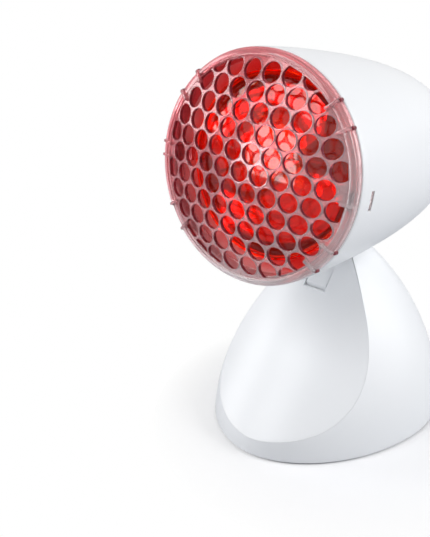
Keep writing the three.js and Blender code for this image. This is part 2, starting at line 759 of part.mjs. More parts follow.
function ringShape(outerRadius, innerRadius, start = 0, sweepAngle = 2 * Math.PI) {
  const steps = Math.max(4, Math.round((rimSides * sweepAngle) / (2 * Math.PI)));
  const arc = (radius) => Array.from({ length: steps + 1 }, (_, i) => {
    const turn = start + (sweepAngle * i) / steps;
    return new THREE.Vector2(radius * Math.cos(turn), radius * Math.sin(turn));
  });
  return new THREE.Shape([...arc(outerRadius), ...arc(innerRadius).reverse()]);
}

function circlePoints(radius, sides) {
  return Array.from({ length: sides }, (_, i) => {
    const turn = (2 * Math.PI * i) / sides;
    return new THREE.Vector2(radius * Math.cos(turn), radius * Math.sin(turn));
  });
}

// The guard's plain edge and the skirt behind it, turned as one ring
function guardRim(skirtInner, skirtOuter) {
  const inner = honeycombRadius + rimOverlap;
  const front = [inner, (inner + guardRadius) / 2, guardRadius].map((r) => [r, guardDepth(r) - rimProud]);
  const back = (r) => [r, guardDepth(r) + guardThickness + rimProud];
  return turned([
    ...front,
    back(guardRadius),
    back(skirtOuter),
    [skirtOuter, mouthBehindNose + skirtDepth],
    [skirtInner, mouthBehindNose + skirtDepth],
    [skirtInner, guardDepth(inner) + guardThickness + rimProud],
    front[0],
  ], rimSides);
}

function protectiveGrille() {
  const skirtOuter = bellRadius - bellWall - 2 * seat;
  const skirtInner = skirtOuter - skirtThickness;
  const shape = new THREE.Shape(circlePoints(honeycombRadius + 2 * rimOverlap, rimSides));
  shape.holes = holeCentres().map(holePath);
  const web = solid(domed(new THREE.ExtrudeGeometry(shape,
    { depth: guardThickness, bevelEnabled: false })));
  const bandOuter = guardRadius - rimBandInset;
  const ends = [...tabAngles].sort((a, b) => a - b);
  const bands = ends.map((tab, i) => {
    const start = tab + tabHalfAngle;
    const end = (i + 1 < ends.length ? ends[i + 1] : ends[0] + 2 * Math.PI) - tabHalfAngle;
    const band = new THREE.ExtrudeGeometry(ringShape(bandOuter, bandOuter - rimBandWidth, start,
      end - start),
      { depth: rimBandHeight + guardThickness / 2, bevelEnabled: false });
    return solid(domed(band.translate(0, 0, -rimBandHeight)));
  });
  const tabSides = tabAngles.flatMap((tab) => [tab - tabHalfAngle, tab + tabHalfAngle]);
  const latchSides = latchAngles.flatMap((turn) => [turn - latchHalfAngle, turn + latchHalfAngle]);
  const ribs = [...tabSides, ...latchSides].map(rimRib);
  const nubs = tabSides.map((turn) => rod("y", nubRadius, guardBulge, guardBulge + guardThickness,
    [guardRadius * Math.cos(turn), guardRadius * Math.sin(turn)], 6));
  return join(web, guardRim(skirtInner, skirtOuter), ...bands, ...ribs, ...nubs,
    ...latches(skirtInner, skirtOuter));
}

// A thin radial wall that stands on the rim's sloping face
function rimRib(turn) {
  const middle = guardRadius - rimRibLength / 2;
  const slope = Math.atan((2 * guardBulge * middle) / guardRadius ** 2);
  const rib = new THREE.BoxGeometry(rimRibLength, rimRibHeight + guardThickness / 2, rimRibThickness);
  rib.translate(0, (guardThickness / 2 - rimRibHeight) / 2, 0);
  rib.rotateZ(slope);
  rib.translate(middle, guardDepth(middle), 0);
  return solid(rib.rotateY(-turn));
}

// Two spring arms behind the skirt, each with a tongue in the bell's slit
function latches(inner, outer) {
  const tongueStart = mouthBehindNose + latchBehindMouth + seat;
  const tongueEnd = mouthBehindNose + latchBehindMouth + latchSlitLength - seat;
  const height = latchWidth / 2 - seat;
  const arm = block([inner, mouthBehindNose, -height], [outer - 2 * seat, tongueEnd + latchTail, height]);
  const tongue = block([inner, tongueStart, -height], [bellRadius - 3 * seat, tongueEnd, height]);
  return latchAngles.map((turn) => join(arm, tongue).rotate([0, -THREE.MathUtils.radToDeg(turn), 0]));
}

// Reflector lamp

const lensEdge = bulbBehindNose + lensBulge;
const reflectorStart = lensEdge + seat;
const neckEnd = capStart - seat;

// A shallow glass bowl, thickest at the edge where it meets the reflector
function bulbLens() {
  const steps = 4;
  const front = Array.from({ length: steps + 1 }, (_, i) => {
    const share = Math.sin(((Math.PI / 2) * i) / steps);
    return [bulbRadius * share, bulbBehindNose + lensBulge *
      (1 - Math.sqrt(1 - (lensDomeShare * share) ** 2))];
  });
  const edge = front.at(-1)[1];
  const inside = Array.from({ length: steps }, (_, i) => {
    const share = Math.sin(((Math.PI / 2) * (steps - 1 - i)) / steps);
    return [(bulbRadius - lensThickness) * share,
      bulbBehindNose + lensThickness + (lensBulge - lensThickness) *
        (1 - Math.sqrt(1 - (lensDomeShare * share) ** 2))];
  });
  return turned([...front, [bulbRadius, Math.max(edge, lensEdge)],
    [bulbRadius - glassThickness, lensEdge], ...inside], bulbSides);
}

function reflectorOutline(shrink) {
  const steps = 7;
  const rimEnd = reflectorStart + rimFlat;
  return Array.from({ length: steps + 1 }, (_, i) => {
    const share = i / steps;
    const blend = (1 + Math.cos(Math.PI * share ** reflectorPower)) / 2;
    return [waistRadius + (bulbRadius - waistRadius) * blend - shrink, rimEnd + (neckEnd - rimEnd) * share];
  });
}

function bulbReflector() {
  const outer = reflectorOutline(0);
  const inner = reflectorOutline(glassThickness);
  const neckInner = inner.at(-1)[0];
  return turned([
    [bulbRadius, reflectorStart],
    ...outer,
    [neckInner, neckEnd],
    ...inner.slice(0, -1).reverse(),
    [bulbRadius - glassThickness, reflectorStart],
    [bulbRadius, reflectorStart],
  ], bulbSides);
}

function bulbCap() {
  const inner = capRadius - capWall;
  return turned([
    [inner, capStart],
    [waistRadius, capStart],
    [waistRadius, capStart + capWall],
    [capRadius, capStart + overrun],
    [capRadius, capEnd - insulatorThickness],
    [inner, capEnd - insulatorThickness],
    [inner, capStart],
  ], bulbSides);
}

function bulbCapInsulator() {
  const start = capEnd - insulatorThickness + seat;
  return turned([
    [contactRadius + seat, start],
    [capRadius - capWall, start],
    [contactRadius + insulatorThickness, capEnd],
    [contactRadius + seat, capEnd],
    [contactRadius + seat, start],
  ], 16);
}

function bulbContact() {
  const start = capEnd - insulatorThickness;
  const tip = capEnd + contactHeight;
  return turned([[0, start], [contactRadius, start], [contactRadius, tip - contactHeight / 2],
    [contactRadius / 2, tip], [0, tip]], 12);
}

// Glass stem with its two lead wires
function filamentMount() {
  const start = neckEnd - stemLength;
  const flareRadius = waistRadius - glassThickness - seat;
  const stem = turned([
    [0, start],
    [stemRadius / 2, start],
    [stemRadius, neckEnd - stemLength / 2],
    [stemRadius, neckEnd - stemRadius],
    [flareRadius, neckEnd - glassThickness],
    [flareRadius, neckEnd],
    [0, neckEnd],
  ], 16);
  const wires = [-1, 1].map((hand) => {
    const path = new THREE.CatmullRomCurve3([
      new THREE.Vector3((hand * stemRadius) / 4, start + overrun, 0),
      new THREE.Vector3((hand * filamentSpan) / 4, start - leadLength / 2, 0),
      new THREE.Vector3((hand * filamentSpan) / 2, start - leadLength, 0),
    ]);
    return wire(path, leadRadius, 5, 6);
  });
  return join(stem, ...wires);
}

function filament() {
  const start = neckEnd - stemLength - leadLength - leadRadius - seat;
  const half = filamentSpan / 2;
  const path = new THREE.CatmullRomCurve3([
    new THREE.Vector3(-half, start, 0),
    new THREE.Vector3(-half * 0.9, start - filamentRise * 0.8, 0),
    new THREE.Vector3(0, start - filamentRise, 0),
    new THREE.Vector3(half * 0.9, start - filamentRise * 0.8, 0),
    new THREE.Vector3(half, start, 0),
  ]);
  return wire(path, filamentRadius, 12, 6);
}

// A round bar along a curve
function wire(path, radius, steps, sides) {
  const section = new THREE.Shape(circlePoints(radius, sides));
  return solid(new THREE.ExtrudeGeometry(section, { steps, bevelEnabled: false, extrudePath: path }));
}

// Lamp holder

function holderSleeve() {
  const [inner, outer] = [capRadius + running + seat, capRadius + running + seat + sleeveWall];
  const end = capEnd - insulatorThickness;
  return turned([[inner, holderStart + seat], [outer, holderStart + seat], [outer, end], [inner, end],
    [inner, holderStart + seat]], bulbSides);
}

function lampHolder() {
  const bore = capRadius + running + 2 * seat + sleeveWall;
  const contactBore = springPlateRadius + seat;
  const floor = holderBack - holderWall;
  const step = capEnd + seat;
  return turned([
    [0, floor],
    [contactBore, floor],
    [contactBore, step],
    [bore, step],
    [bore, holderStart],
    [bore + holderWall, holderStart],
    [bore + holderWall, holderBack - holderNeckLength],
    [holderNeckRadius, holderBack - holderNeckLength],
    [holderNeckRadius, holderBack],
    [0, holderBack],
  ].reverse(), bulbSides);
}

function holderContact() {
  const end = holderBack - holderWall - seat;
  const plate = rod("y", springPlateRadius, end - springPlateThickness, end, [0, 0], 20);
  const slots = [-1, 1].map((hand) => block([hand * springPlateRadius / 2 - screwRadius / 2, 0,
    -springPlateRadius / 2],
    [hand * springPlateRadius / 2 + screwRadius / 2, bellEnd, springPlateRadius]));
  return cut(plate, ...slots);
}

function holderBracket() {
  const half = [holderBracketHalfLength, holderBracketWidth / 2];
  const plate = block([-half[0], bracketStart, -half[1]], [half[0], bracketEnd, half[1]]);
  const rounded = plate.intersect(rod("y", holderBracketHalfLength, bracketStart - overrun,
    bracketEnd + overrun, [0, 0], 36));
  const holes = [-1, 1].map((hand) => rod("y", screwRadius + seat, bracketStart - overrun,
    bracketEnd + overrun,
    [hand * holderScrewOffset, 0], 10));
  return cut(rounded, rod("y", terminalHeight / 3, bracketStart - overrun, bracketEnd + overrun, [0, 0]),
    ...holes);
}

function holderScrew(hand) {
  const place = [hand * holderScrewOffset, 0];
  const seatLevel = bracketStart - seat;
  return join(rod("y", screwHeadRadius, seatLevel - screwHeadHeight, seatLevel, place, 12),
    rod("y", screwRadius, seatLevel - screwHeadHeight, bracketEnd + screwLength / 3, place, 8));
}

// Assembly

const lamp = new THREE.Group();
const base = new THREE.Group();
addPiece(base, "base_shell", baseShell(), materials.housing);
addPiece(base, "front_panel", frontPanel(), materials.housing);
addPiece(base, "bottom_plate", bottomPlate(), materials.nylon);
padPlaces().forEach((place, i) => {
  addPiece(base, `rubber_foot_${i + 1}`, rod("z", footPadRadius, 0, footPadHeight, place, 20),
    materials.rubber);
});
screwPlaces().forEach((place, i) => {
  addPiece(base, `base_screw_${i + 1}`, screwUp(place, plateBottom - seat), materials.steel);
});
addPiece(base, "tilt_bracket", tiltBracket(), materials.steel);
bracketScrewPlaces().forEach((place, i) => {
  addPiece(base, `bracket_screw_${i + 1}`, screwDown(place, bracketBottom + bracketPlateThickness + seat,
    screwLength), materials.steel);
});
addPiece(base, "tilt_axle", tiltAxle(), materials.steel);
addPiece(base, "axle_clip", axleClip(), materials.steel);
addPiece(base, "axle_spacer", axleSpacer(), materials.nylon);
addPiece(base, "detent_spring", detentSpring(), materials.steel);
addPiece(base, "cord_gland", cordGland(), materials.rubber);
addPiece(base, "terminal_block", terminalBlock(), materials.nylon);

const optics = new THREE.Group();
addPiece(optics, "housing_shell", housingShell(), materials.housing);
addPiece(optics, "protective_grille", protectiveGrille(), materials.clear);
addPiece(optics, "detent_wheel", detentWheel(), materials.nylon);
addPiece(optics, "bulb_lens", bulbLens(), materials.redGlass);
addPiece(optics, "bulb_reflector", bulbReflector(), materials.mirrorGlass);
addPiece(optics, "filament_mount", filamentMount(), materials.tungsten);
addPiece(optics, "filament", filament(), materials.tungsten);
addPiece(optics, "bulb_cap", bulbCap(), materials.brass);
addPiece(optics, "bulb_cap_insulator", bulbCapInsulator(), materials.black);
addPiece(optics, "bulb_contact", bulbContact(), materials.brass);
addPiece(optics, "lamp_holder", lampHolder(), materials.ceramic);
addPiece(optics, "holder_sleeve", holderSleeve(), materials.brass);
addPiece(optics, "holder_contact", holderContact(), materials.brass);
addPiece(optics, "holder_bracket", holderBracket(), materials.steel);
addPiece(optics, "holder_screw_left", holderScrew(-1), materials.steel);
addPiece(optics, "holder_screw_right", holderScrew(1), materials.steel);

// The head hangs on the axle, its nose lifted by the rest tilt
optics.position.set(0, -pivotBehindNose, axisAbovePivot);
const head = new THREE.Group();
head.add(optics);
head.position.set(0, pivotPlace, pivotHeight);
head.rotation.x = -restTilt;
lamp.add(base, head);

// The origin goes under the middle of the lamp's box
lamp.updateMatrixWorld(true);
const box = new THREE.Box3().setFromObject(lamp, true);
const middle = box.getCenter(new THREE.Vector3());
lamp.position.set(-middle.x, -middle.y, -box.min.z);
lamp.updateMatrixWorld(true);

export default lamp;
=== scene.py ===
"""Fine surfaces, finishes, studio and camera for a table-top infrared heat lamp."""

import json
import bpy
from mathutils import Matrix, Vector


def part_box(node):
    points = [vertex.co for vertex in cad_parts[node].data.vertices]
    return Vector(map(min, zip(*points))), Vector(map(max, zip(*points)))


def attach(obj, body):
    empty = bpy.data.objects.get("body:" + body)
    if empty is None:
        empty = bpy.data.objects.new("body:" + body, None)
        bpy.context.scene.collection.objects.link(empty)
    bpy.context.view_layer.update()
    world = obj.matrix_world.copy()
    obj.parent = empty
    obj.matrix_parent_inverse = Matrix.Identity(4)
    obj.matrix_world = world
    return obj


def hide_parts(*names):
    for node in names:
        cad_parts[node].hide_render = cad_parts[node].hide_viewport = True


bl_info = {
    "name": "Infrared heat lamp",
    "version": (1, 0, 0),
    "blender": (4, 5, 0),
    "location": "3D View > Sidebar > Heat Lamp",
    "description": "Builds the visible surfaces and finishes of a tilting infrared heat lamp",
    "category": "Add Mesh",
}

import bmesh
import bpy
import numpy as np
from bpy.props import FloatProperty, FloatVectorProperty, IntProperty, PointerProperty
from mathutils import Matrix

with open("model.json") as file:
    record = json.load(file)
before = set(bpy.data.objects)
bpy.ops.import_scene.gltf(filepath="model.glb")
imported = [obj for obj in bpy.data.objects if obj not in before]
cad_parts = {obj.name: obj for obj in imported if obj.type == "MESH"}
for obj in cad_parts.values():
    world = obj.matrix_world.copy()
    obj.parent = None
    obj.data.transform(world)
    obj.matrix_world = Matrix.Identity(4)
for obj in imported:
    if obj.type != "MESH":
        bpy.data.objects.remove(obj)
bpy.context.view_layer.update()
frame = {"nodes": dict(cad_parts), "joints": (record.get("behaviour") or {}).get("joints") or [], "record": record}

MM = 0.001
JOINT = frame["joints"][0]
PIVOT = np.array(JOINT["pos_m"])

# The bevels round only edges sharper than this.
BEVEL_FROM = np.radians(38.0)
# The dome's points end at this share of its height, just under its crown.
CROWN_SHARE = 0.995
# The guard's rim has four tabs, where its band is left out. They are given in degrees.
TAB_MIDDLES = (37.5, 142.5, 217.5, 322.5)
TAB_HALF = 7.0
TAB_SIDES = tuple(middle + side for middle in TAB_MIDDLES for side in (-TAB_HALF, TAB_HALF))
LATCH_RIBS = (-5.5, 177.5, 184.5)
# The lamp's screw cap and the contact behind it, and the gap between neighbouring glasses.
CAP_LENGTH = 25 * MM
CONTACT_LENGTH = 2.5 * MM
GLASS_GAP = 0.3 * MM


def linear(code):
    """An sRGB hex colour as linear red, green and blue."""
    srgb = np.array([int(code[i : i + 2], 16) for i in (0, 2, 4)]) / 255
    return tuple(np.where(srgb <= 0.04045, srgb / 12.92, ((srgb + 0.055) / 1.055) ** 2.4))


def length(name, description, millimetres):
    """A length property, in metres, with its default given in millimetres."""
    return FloatProperty(
        name=name, description=description, default=millimetres * MM, unit="LENGTH", precision=5
    )


def colour(name, description, code):
    """A colour property with its default given as an sRGB hex value."""
    return FloatVectorProperty(
        name=name, description=description, default=linear(code), subtype="COLOR", min=0, max=1
    )


def share(name, description, value):
    """A plain number, such as a power or a share."""
    return FloatProperty(name=name, description=description, default=value)


def tilt_angle(name, description, degrees):
    """An angle property with its default given in degrees."""
    return FloatProperty(
        name=name, description=description, default=np.radians(degrees), subtype="ANGLE"
    )


def step_count(name, description, number):
    """A whole number of steps."""
    return IntProperty(name=name, description=description, default=number)


class HeatLampHead(bpy.types.PropertyGroup):
    """Sizes of the tilting head, along and around the lamp's own axis."""

    rest_tilt: tilt_angle("Rest tilt", "How far the head looks up at rest", 9.3)
    nose_ahead: length("Nose ahead", "Guard's nose to the pivot, along the lamp's axis", 88.1)
    axis_above: length("Axis above", "Lamp's axis above the pivot", 58.8)
    guard_radius: length("Guard radius", "Outer edge of the clear guard", 49.3)
    guard_bulge: length("Guard bulge", "Depth of the guard's dome from nose to edge", 11.6)
    guard_thickness: length("Guard thickness", "Wall of the clear guard", 2.0)
    hole_pitch: length("Hole pitch", "Distance between neighbouring holes", 9.31)
    hole_radius: length("Hole radius", "Radius of one hole", 4.2)
    honeycomb_radius: length("Honeycomb radius", "Where the outermost holes are cut flat", 45.4)
    band_height: length("Band height", "How far the rim's raised band stands up", 1.3)
    bell_radius: length("Bell radius", "Outer radius of the housing at its mouth", 49.5)
    bell_length: length("Bell length", "Housing from its mouth to its rear end", 129.65)
    bell_wall: length("Bell wall", "Wall of the housing", 2.2)
    mouth_behind: length("Mouth behind nose", "Guard's nose to the housing's mouth", 14.05)
    length_power: share("Length power", "How late along its length the bell narrows", 1.47)
    round_power: share("Round power", "How round the bell's rear end is", 4.24)
    neck_width: length("Neck width", "Width of the neck in the slot", 11.2)
    barrel_radius: length("Barrel radius", "Round lower end of the neck", 8.0)
    apron_radius: length("Apron radius", "Neck's front, from the axle", 16.4)
    latch_turn: tilt_angle("Latch turn", "How far each latch sits below the middle", 4.4)
    bulb_radius: length("Lamp radius", "Largest radius of the reflector lamp", 40.0)
    bulb_behind: length("Lamp behind nose", "Guard's nose to the lamp's front glass", 14.0)
    bulb_length: length("Lamp length", "Reflector lamp from front glass to contact", 114.0)


class HeatLampPedestal(bpy.types.PropertyGroup):
    """Sizes of the pedestal, measured from the floor and the foot's widest place."""

    half_width: length("Half width", "Half of the foot's width", 53.7)
    front_depth: length("Front depth", "Widest place to the foot's front", 70.3)
    rear_depth: length("Rear depth", "Widest place to the foot's rear", 60.0)
    height: length("Height", "Height of the whole dome", 92.3)
    crown_setback: length("Crown setback", "How far the crown lies behind the widest place", 3.0)
    round_power: share("Round power", "How square the foot's outline is", 1.88)
    height_power: share("Height power", "How late the dome draws in", 1.84)
    taper_power: share("Taper power", "How sharply the crown closes", 1.2)
    wall: length("Wall", "Wall of the pedestal", 2.4)
    lift: length("Lift", "Gap between the shell's lower edge and the floor", 1.0)
    toe_ahead: length("Panel toe", "Widest place to where the panel would meet the floor", 77.0)
    lean: share("Panel lean", "Backwards run of the panel for each unit of height", 0.837)
    curve_radius: length("Panel curve", "Radius of the panel's crosswise curve", 45.7)
    panel_wall: length("Panel wall", "Thickness of the front panel", 2.2)
    seam: length("Seam", "Gap behind the line where panel and shell meet", 0.3)
    slot_width: length("Slot width", "Width of the neck's slot", 12.0)
    slot_floor: length("Slot floor", "Height of the slot's lower edge", 67.5)
    clearance: length("Crown clearance", "Gap between the crown and the tilting head", 1.2)
    pivot_ahead: length("Pivot ahead", "Pivot in front of the foot's widest place", 2.0)


class HeatLampFinish(bpy.types.PropertyGroup):
    """Colours of the lamp's materials."""

    housing: colour("Housing", "White moulded housing", "F4F5F7")
    housing_shade: colour("Housing shade", "Slightly cooler patches of the housing", "F1F3F5")
    guard: colour("Guard", "Clear guard", "FFF6F7")
    # Painted shade: dark wine red on the walls of the guard's holes and on its nubs.
    guard_edge: colour("Guard edge", "Walls of the guard's holes", "AA4A58")
    # Painted glow: a pink that stands in for the lamp's red light in the clear guard.
    guard_lit: colour("Lit guard", "Guard where it carries the lamp's red light", "FFA8AF")
    # On the lens these two reds are mixed in noise patches, a painted reflection.
    ruby: colour("Ruby glass", "Red front glass", "FF5206")
    ruby_deep: colour("Deep ruby", "Denser parts of the red glass", "F41A03")
    glow: colour("Glow", "Light in the red glass", "FF1404")
    mirror: colour("Mirror", "Mirror inside the lamp", "F5F2EE")
    brass: colour("Brass", "Cap and contacts", "C9A24B")
    zinc: colour("Zinc", "Plated steel", "BFC3C7")
    tungsten: colour("Tungsten", "Filament and leads", "8A8C90")
    porcelain: colour("Porcelain", "Lamp holder", "EEEAE2")
    nylon: colour("Nylon", "Inner mouldings", "DADCD9")
    rubber: colour("Rubber", "Feet and gland", "8E9194")
    black_glass: colour("Black glass", "Insulator of the lamp's cap", "18181A")
    floor: colour("Floor", "Studio floor", "FAFAFB")
    floor_shade: colour("Floor bounce", "Floor as the lamp's underside sees it", "BEC1C6")


class HeatLampDetail(bpy.types.PropertyGroup):
    """How finely curved surfaces are divided."""

    round_steps: step_count("Round steps", "Steps round a turned piece", 144)
    hole_steps: step_count("Hole steps", "Steps round one hole", 48)
    outline_steps: step_count("Outline steps", "Steps round the pedestal", 288)


# Meshes

def grid_faces(rows, columns, close_rows=False, close_columns=False):
    """Quads between neighbouring rows and columns of a grid, closed round either way."""
    down = np.arange(rows if close_rows else rows - 1)
    along = np.arange(columns if close_columns else columns - 1)
    r, c = np.meshgrid(down, along, indexing="ij")
    r2, c2 = (r + 1) % rows, (c + 1) % columns
    corners = [r * columns + c, r * columns + c2, r2 * columns + c2, r2 * columns + c]
    return np.stack(corners, axis=-1).reshape(-1, 4)


def full_turn(steps):
    """Angles all the way round, without the last, which would repeat the first."""
    return np.linspace(0, 2 * np.pi, steps, endpoint=False)


def make_piece(name, points, faces, body, slot, sharp=32.0, weld=0.01, material=None):
    """A closed mesh from points in metres: welded, facing outwards, smooth but for its edges."""
    mesh = bpy.data.meshes.new(name)
    faces = faces.tolist() if isinstance(faces, np.ndarray) else faces
    mesh.from_pydata(np.asarray(points).reshape(-1, 3), [], faces)
    work = bmesh.new()
    work.from_mesh(mesh)
    bmesh.ops.remove_doubles(work, verts=work.verts, dist=weld * MM)
    bmesh.ops.recalc_face_normals(work, faces=work.faces)
    work.to_mesh(mesh)
    work.free()
    piece = bpy.data.objects.new(name, mesh)
    bpy.context.scene.collection.objects.link(piece)
    mesh.materials.append(material or finish_of(slot))
    if body:
        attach(piece, body)
    shade(piece, sharp)
    return piece


def ring_piece(name, points, body, slot, sharp=32.0, closed=False):
    """A piece from rings of points, joined from the last ring to the first as well if closed."""
    rows, steps = points.shape[:2]
    faces = grid_faces(rows, steps, close_rows=closed, close_columns=True)
    return make_piece(name, points, faces, body, slot, sharp)


def shade(piece, sharp):
    """Smooth shading that stays crisp over edges sharper than an angle in degrees."""
    piece.data.shade_smooth()
    piece.data.set_sharp_from_angle(angle=np.radians(sharp))


def settle(piece, sharp):
    """Bakes the piece's modifiers into its mesh."""
    graph = bpy.context.evaluated_depsgraph_get()
    fresh = bpy.data.meshes.new_from_object(piece.evaluated_get(graph))
    stale = piece.data
    piece.modifiers.clear()
    piece.data = fresh
    bpy.data.meshes.remove(stale)
    fresh.name = piece.name
    shade(piece, sharp)


def soften(piece, width, segments=3, sharp=32.0):
    """Rounds the piece's edges by a width in millimetres."""
    bevel = piece.modifiers.new("soft_edges", "BEVEL")
    bevel.width = width * MM
    bevel.segments = segments
    bevel.limit_method = "ANGLE"
    bevel.angle_limit = BEVEL_FROM
    bevel.miter_outer = "MITER_ARC"
    settle(piece, sharp)


def carve(piece, cutters, sharp=32.0):
    """Cuts closed meshes out of the piece and removes them."""
    for cutter in cutters:
        cut = piece.modifiers.new("cut", "BOOLEAN")
        cut.operation = "DIFFERENCE"
        cut.solver = "EXACT"
        cut.object = cutter
    settle(piece, sharp)
    for cutter in cutters:
        stale = cutter.data
        bpy.data.objects.remove(cutter)
        bpy.data.meshes.remove(stale)


def slab(front, back, close_columns=False):
    """A closed wall between two grids of the same size, as points and quads."""
    rows, columns = front.shape[:2]
    points = np.concatenate([front.reshape(-1, 3), back.reshape(-1, 3)])
    count = rows * columns
    skin = grid_faces(rows, columns, close_columns=close_columns)
    index = np.arange(count).reshape(rows, columns)
    edges = [index[0], index[-1]]
    if not close_columns:
        edges += [index[:, 0], index[:, -1]]
    walls = []
    for edge in edges:
        ring = np.append(edge, edge[:1]) if close_columns else edge
        one, two = ring[:-1], ring[1:]
        walls.append(np.stack([one, two, two + count, one + count], axis=-1))
    return points, np.concatenate([skin, skin[:, ::-1] + count, *walls])


def spun(profile, place, steps, level=False):
    """Turns a profile of (radius, reach) points round a line through a place.

    The line stands upright, or runs along Y if level. At each angle a, r cos a goes along X
    and r sin a along the third direction.
    """
    turn = full_turn(steps)
    radius, reach = profile[:, :1], profile[:, 1:] + 0 * turn
    x, other = radius * np.cos(turn), radius * np.sin(turn)
    return np.stack([x, reach, other] if level else [x, other, reach], axis=-1) + place


def rounded(corners, radius, steps=5):
    """A closed profile with each corner replaced by a short arc-like curve.

    Each corner is swapped for points of a quadratic curve that leaves one side and joins
    the next at the given distance from the corner, or at most at a share of the side.
    """
    corners = np.asarray(corners, float)
    before = np.roll(corners, 1, axis=0) - corners
    after = np.roll(corners, -1, axis=0) - corners
    reach_before = np.linalg.norm(before, axis=1, keepdims=True)
    reach_after = np.linalg.norm(after, axis=1, keepdims=True)
    most = 0.45
    limit = np.minimum(radius, most * np.minimum(reach_before, reach_after))
    start = corners + before / reach_before * limit
    end = corners + after / reach_after * limit
    t = np.linspace(0, 1, steps)[None, :, None]
    start, middle, end = start[:, None], corners[:, None], end[:, None]
    curve = (1 - t) ** 2 * start + 2 * t * (1 - t) * middle + t**2 * end
    return curve.reshape(-1, corners.shape[1])


# Places

def box_of(node):
    """The low corner, high corner and middle of a CAD node's box."""
    low, high = (np.array(corner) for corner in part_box(node))
    return low, high, (low + high) / 2


def head_place(head, across, back, up):
    """Points of the head's own frame, nose at its origin, in the row frame."""
    angle = head.rest_tilt
    reach, rise = back - head.nose_ahead, up + head.axis_above
    y = PIVOT[1] + reach * np.cos(angle) + rise * np.sin(angle)
    z = PIVOT[2] - reach * np.sin(angle) + rise * np.cos(angle)
    return np.stack(np.broadcast_arrays(across, y, z), axis=-1)


def head_turned(head, profile, steps):
    """Turns a profile of (back, radius) points round the lamp's axis.

    across = r cos a, up = r sin a, for each profile point and each angle a.
    """
    angle = full_turn(steps)
    back, radius = profile[:, :1], profile[:, 1:]
    return head_place(head, radius * np.cos(angle), back + 0 * angle, radius * np.sin(angle))


def bell_radius_at(head, back, grow=0.0):
    """Outer radius of the housing at a distance behind the nose.

    r = R (1 - t^p)^(1/q), where t is the share of the bell's length from its mouth.
    """
    t = np.clip((back - head.mouth_behind) / (head.bell_length + grow), 0, 1)
    return (head.bell_radius + grow) * (1 - t**head.length_power) ** (1 / head.round_power)


def guard_depth(head, radius):
    """Depth of the guard's dome behind its nose: a paraboloid."""
    return head.guard_bulge * (radius / head.guard_radius) ** 2


def dome_at(base, turn, height, inset=0.0):
    """A point of the pedestal's dome at an angle round it and a height.

    The level outline is a superellipse, longer to the front, that shrinks with height
    by w = (1 - (z/H)^p)^(1/q) and drifts back by a small square law.
    """
    level = np.clip(height / base.height, 0, 1)
    w = (1 - level**base.height_power) ** (1 / base.taper_power)
    c, s = np.cos(turn), np.sin(turn)
    power = 2 / base.round_power
    depth = np.where(s < 0, base.front_depth, base.rear_depth)
    reach_x = np.maximum(base.half_width * w - inset, 0)
    reach_y = np.maximum(depth * w - inset, 0)
    x = reach_x * np.sign(c) * np.abs(c) ** power
    y = reach_y * np.sign(s) * np.abs(s) ** power + base.crown_setback * level**2
    y = y + PIVOT[1] + base.pivot_ahead
    return x, y


def panel_y(base, x, height, offset=0.0):
    """Where the front panel's slanted, crosswise curved face lies at a width and height."""
    toe = PIVOT[1] + base.pivot_ahead - base.toe_ahead
    return toe + base.lean * height + x**2 / (2 * base.curve_radius) + offset


def inside_sweep(base, head, x, y, z):
    """How deep a point lies in the space that the tilting bell needs; above 0 is inside."""
    low, high = np.radians(JOINT["range_deg"])
    tries = 17
    deepest = np.full(np.broadcast(x, y, z).shape, -1.0)
    for tilt in np.linspace(low, high, tries):
        angle = head.rest_tilt + tilt
        dy, dz = y - PIVOT[1], z - PIVOT[2]
        back = dy * np.cos(angle) - dz * np.sin(angle) + head.nose_ahead
        up = dy * np.sin(angle) + dz * np.cos(angle) - head.axis_above
        depth = bell_radius_at(head, back, base.clearance) - np.hypot(x, up)
        ahead = back < head.mouth_behind - head.guard_bulge
        deepest = np.maximum(deepest, np.where(ahead, -1.0, depth))
    return deepest


def top_edge(base, head, turn, offset, inset=0.0):
    """Height at which each column of the dome first meets the panel's cut or the bell's sweep.

    Also says of each column whether it was the panel's cut.
    """
    heights = np.linspace(base.lift, base.height * CROWN_SHARE, 700)
    x, y = dome_at(base, turn[:, None], heights[None, :], inset)
    ahead = panel_y(base, x, heights, offset) - y
    over = np.maximum(ahead, inside_sweep(base, head, x, y, heights))
    first = np.argmax(over > 0, axis=1)
    before = np.maximum(first - 1, 0)
    rows = np.arange(len(turn))
    low, high = over[rows, before], over[rows, first]
    blend = np.where(first > 0, low / (low - high + 1e-12), 0)
    return heights[before] + blend * (heights[1] - heights[0]), ahead[rows, first] > 0


# Finishes

def add_node(tree, kind, inputs=None, **settings):
    """Adds a node, sets its settings, and sets or links its inputs."""
    node = tree.nodes.new(kind)
    for name, value in settings.items():
        setattr(node, name, value)
    for name, value in (inputs or {}).items():
        if isinstance(value, bpy.types.NodeSocket):
            tree.links.new(value, node.inputs[name])
        else:
            node.inputs[name].default_value = value
    return node


def new_finish(name, **sockets):
    """A material named for a real finish, its constants set on the shader's own sockets."""
    material = bpy.data.materials.new(name)
    material.use_nodes = True
    shader = material.node_tree.nodes["Principled BSDF"]
    for socket, value in sockets.items():
        value = (*value, 1.0) if hasattr(value, "__len__") and len(value) == 3 else value
        shader.inputs[socket.replace("_", " ")].default_value = value
    return material, material.node_tree, shader


def mottle(tree, size, detail=3.0):
    """Noise on Object coordinates with features of a size in millimetres."""
    place = add_node(tree, "ShaderNodeTexCoord")
    return add_node(
        tree, "ShaderNodeTexNoise",
        {"Vector": place.outputs["Object"], "Scale": 1 / (size * MM), "Detail": detail},
    ).outputs["Fac"]


def polish(tree, shader, size, low, high):
    """Lets the roughness wander between two numbers, in patches of a size in millimetres."""
    rough = add_node(tree, "ShaderNodeMapRange", {
        "Value": mottle(tree, size), "From Min": 0.3, "From Max": 0.7,
        "To Min": low, "To Max": high,
    })
    tree.links.new(rough.outputs["Result"], shader.inputs["Roughness"])


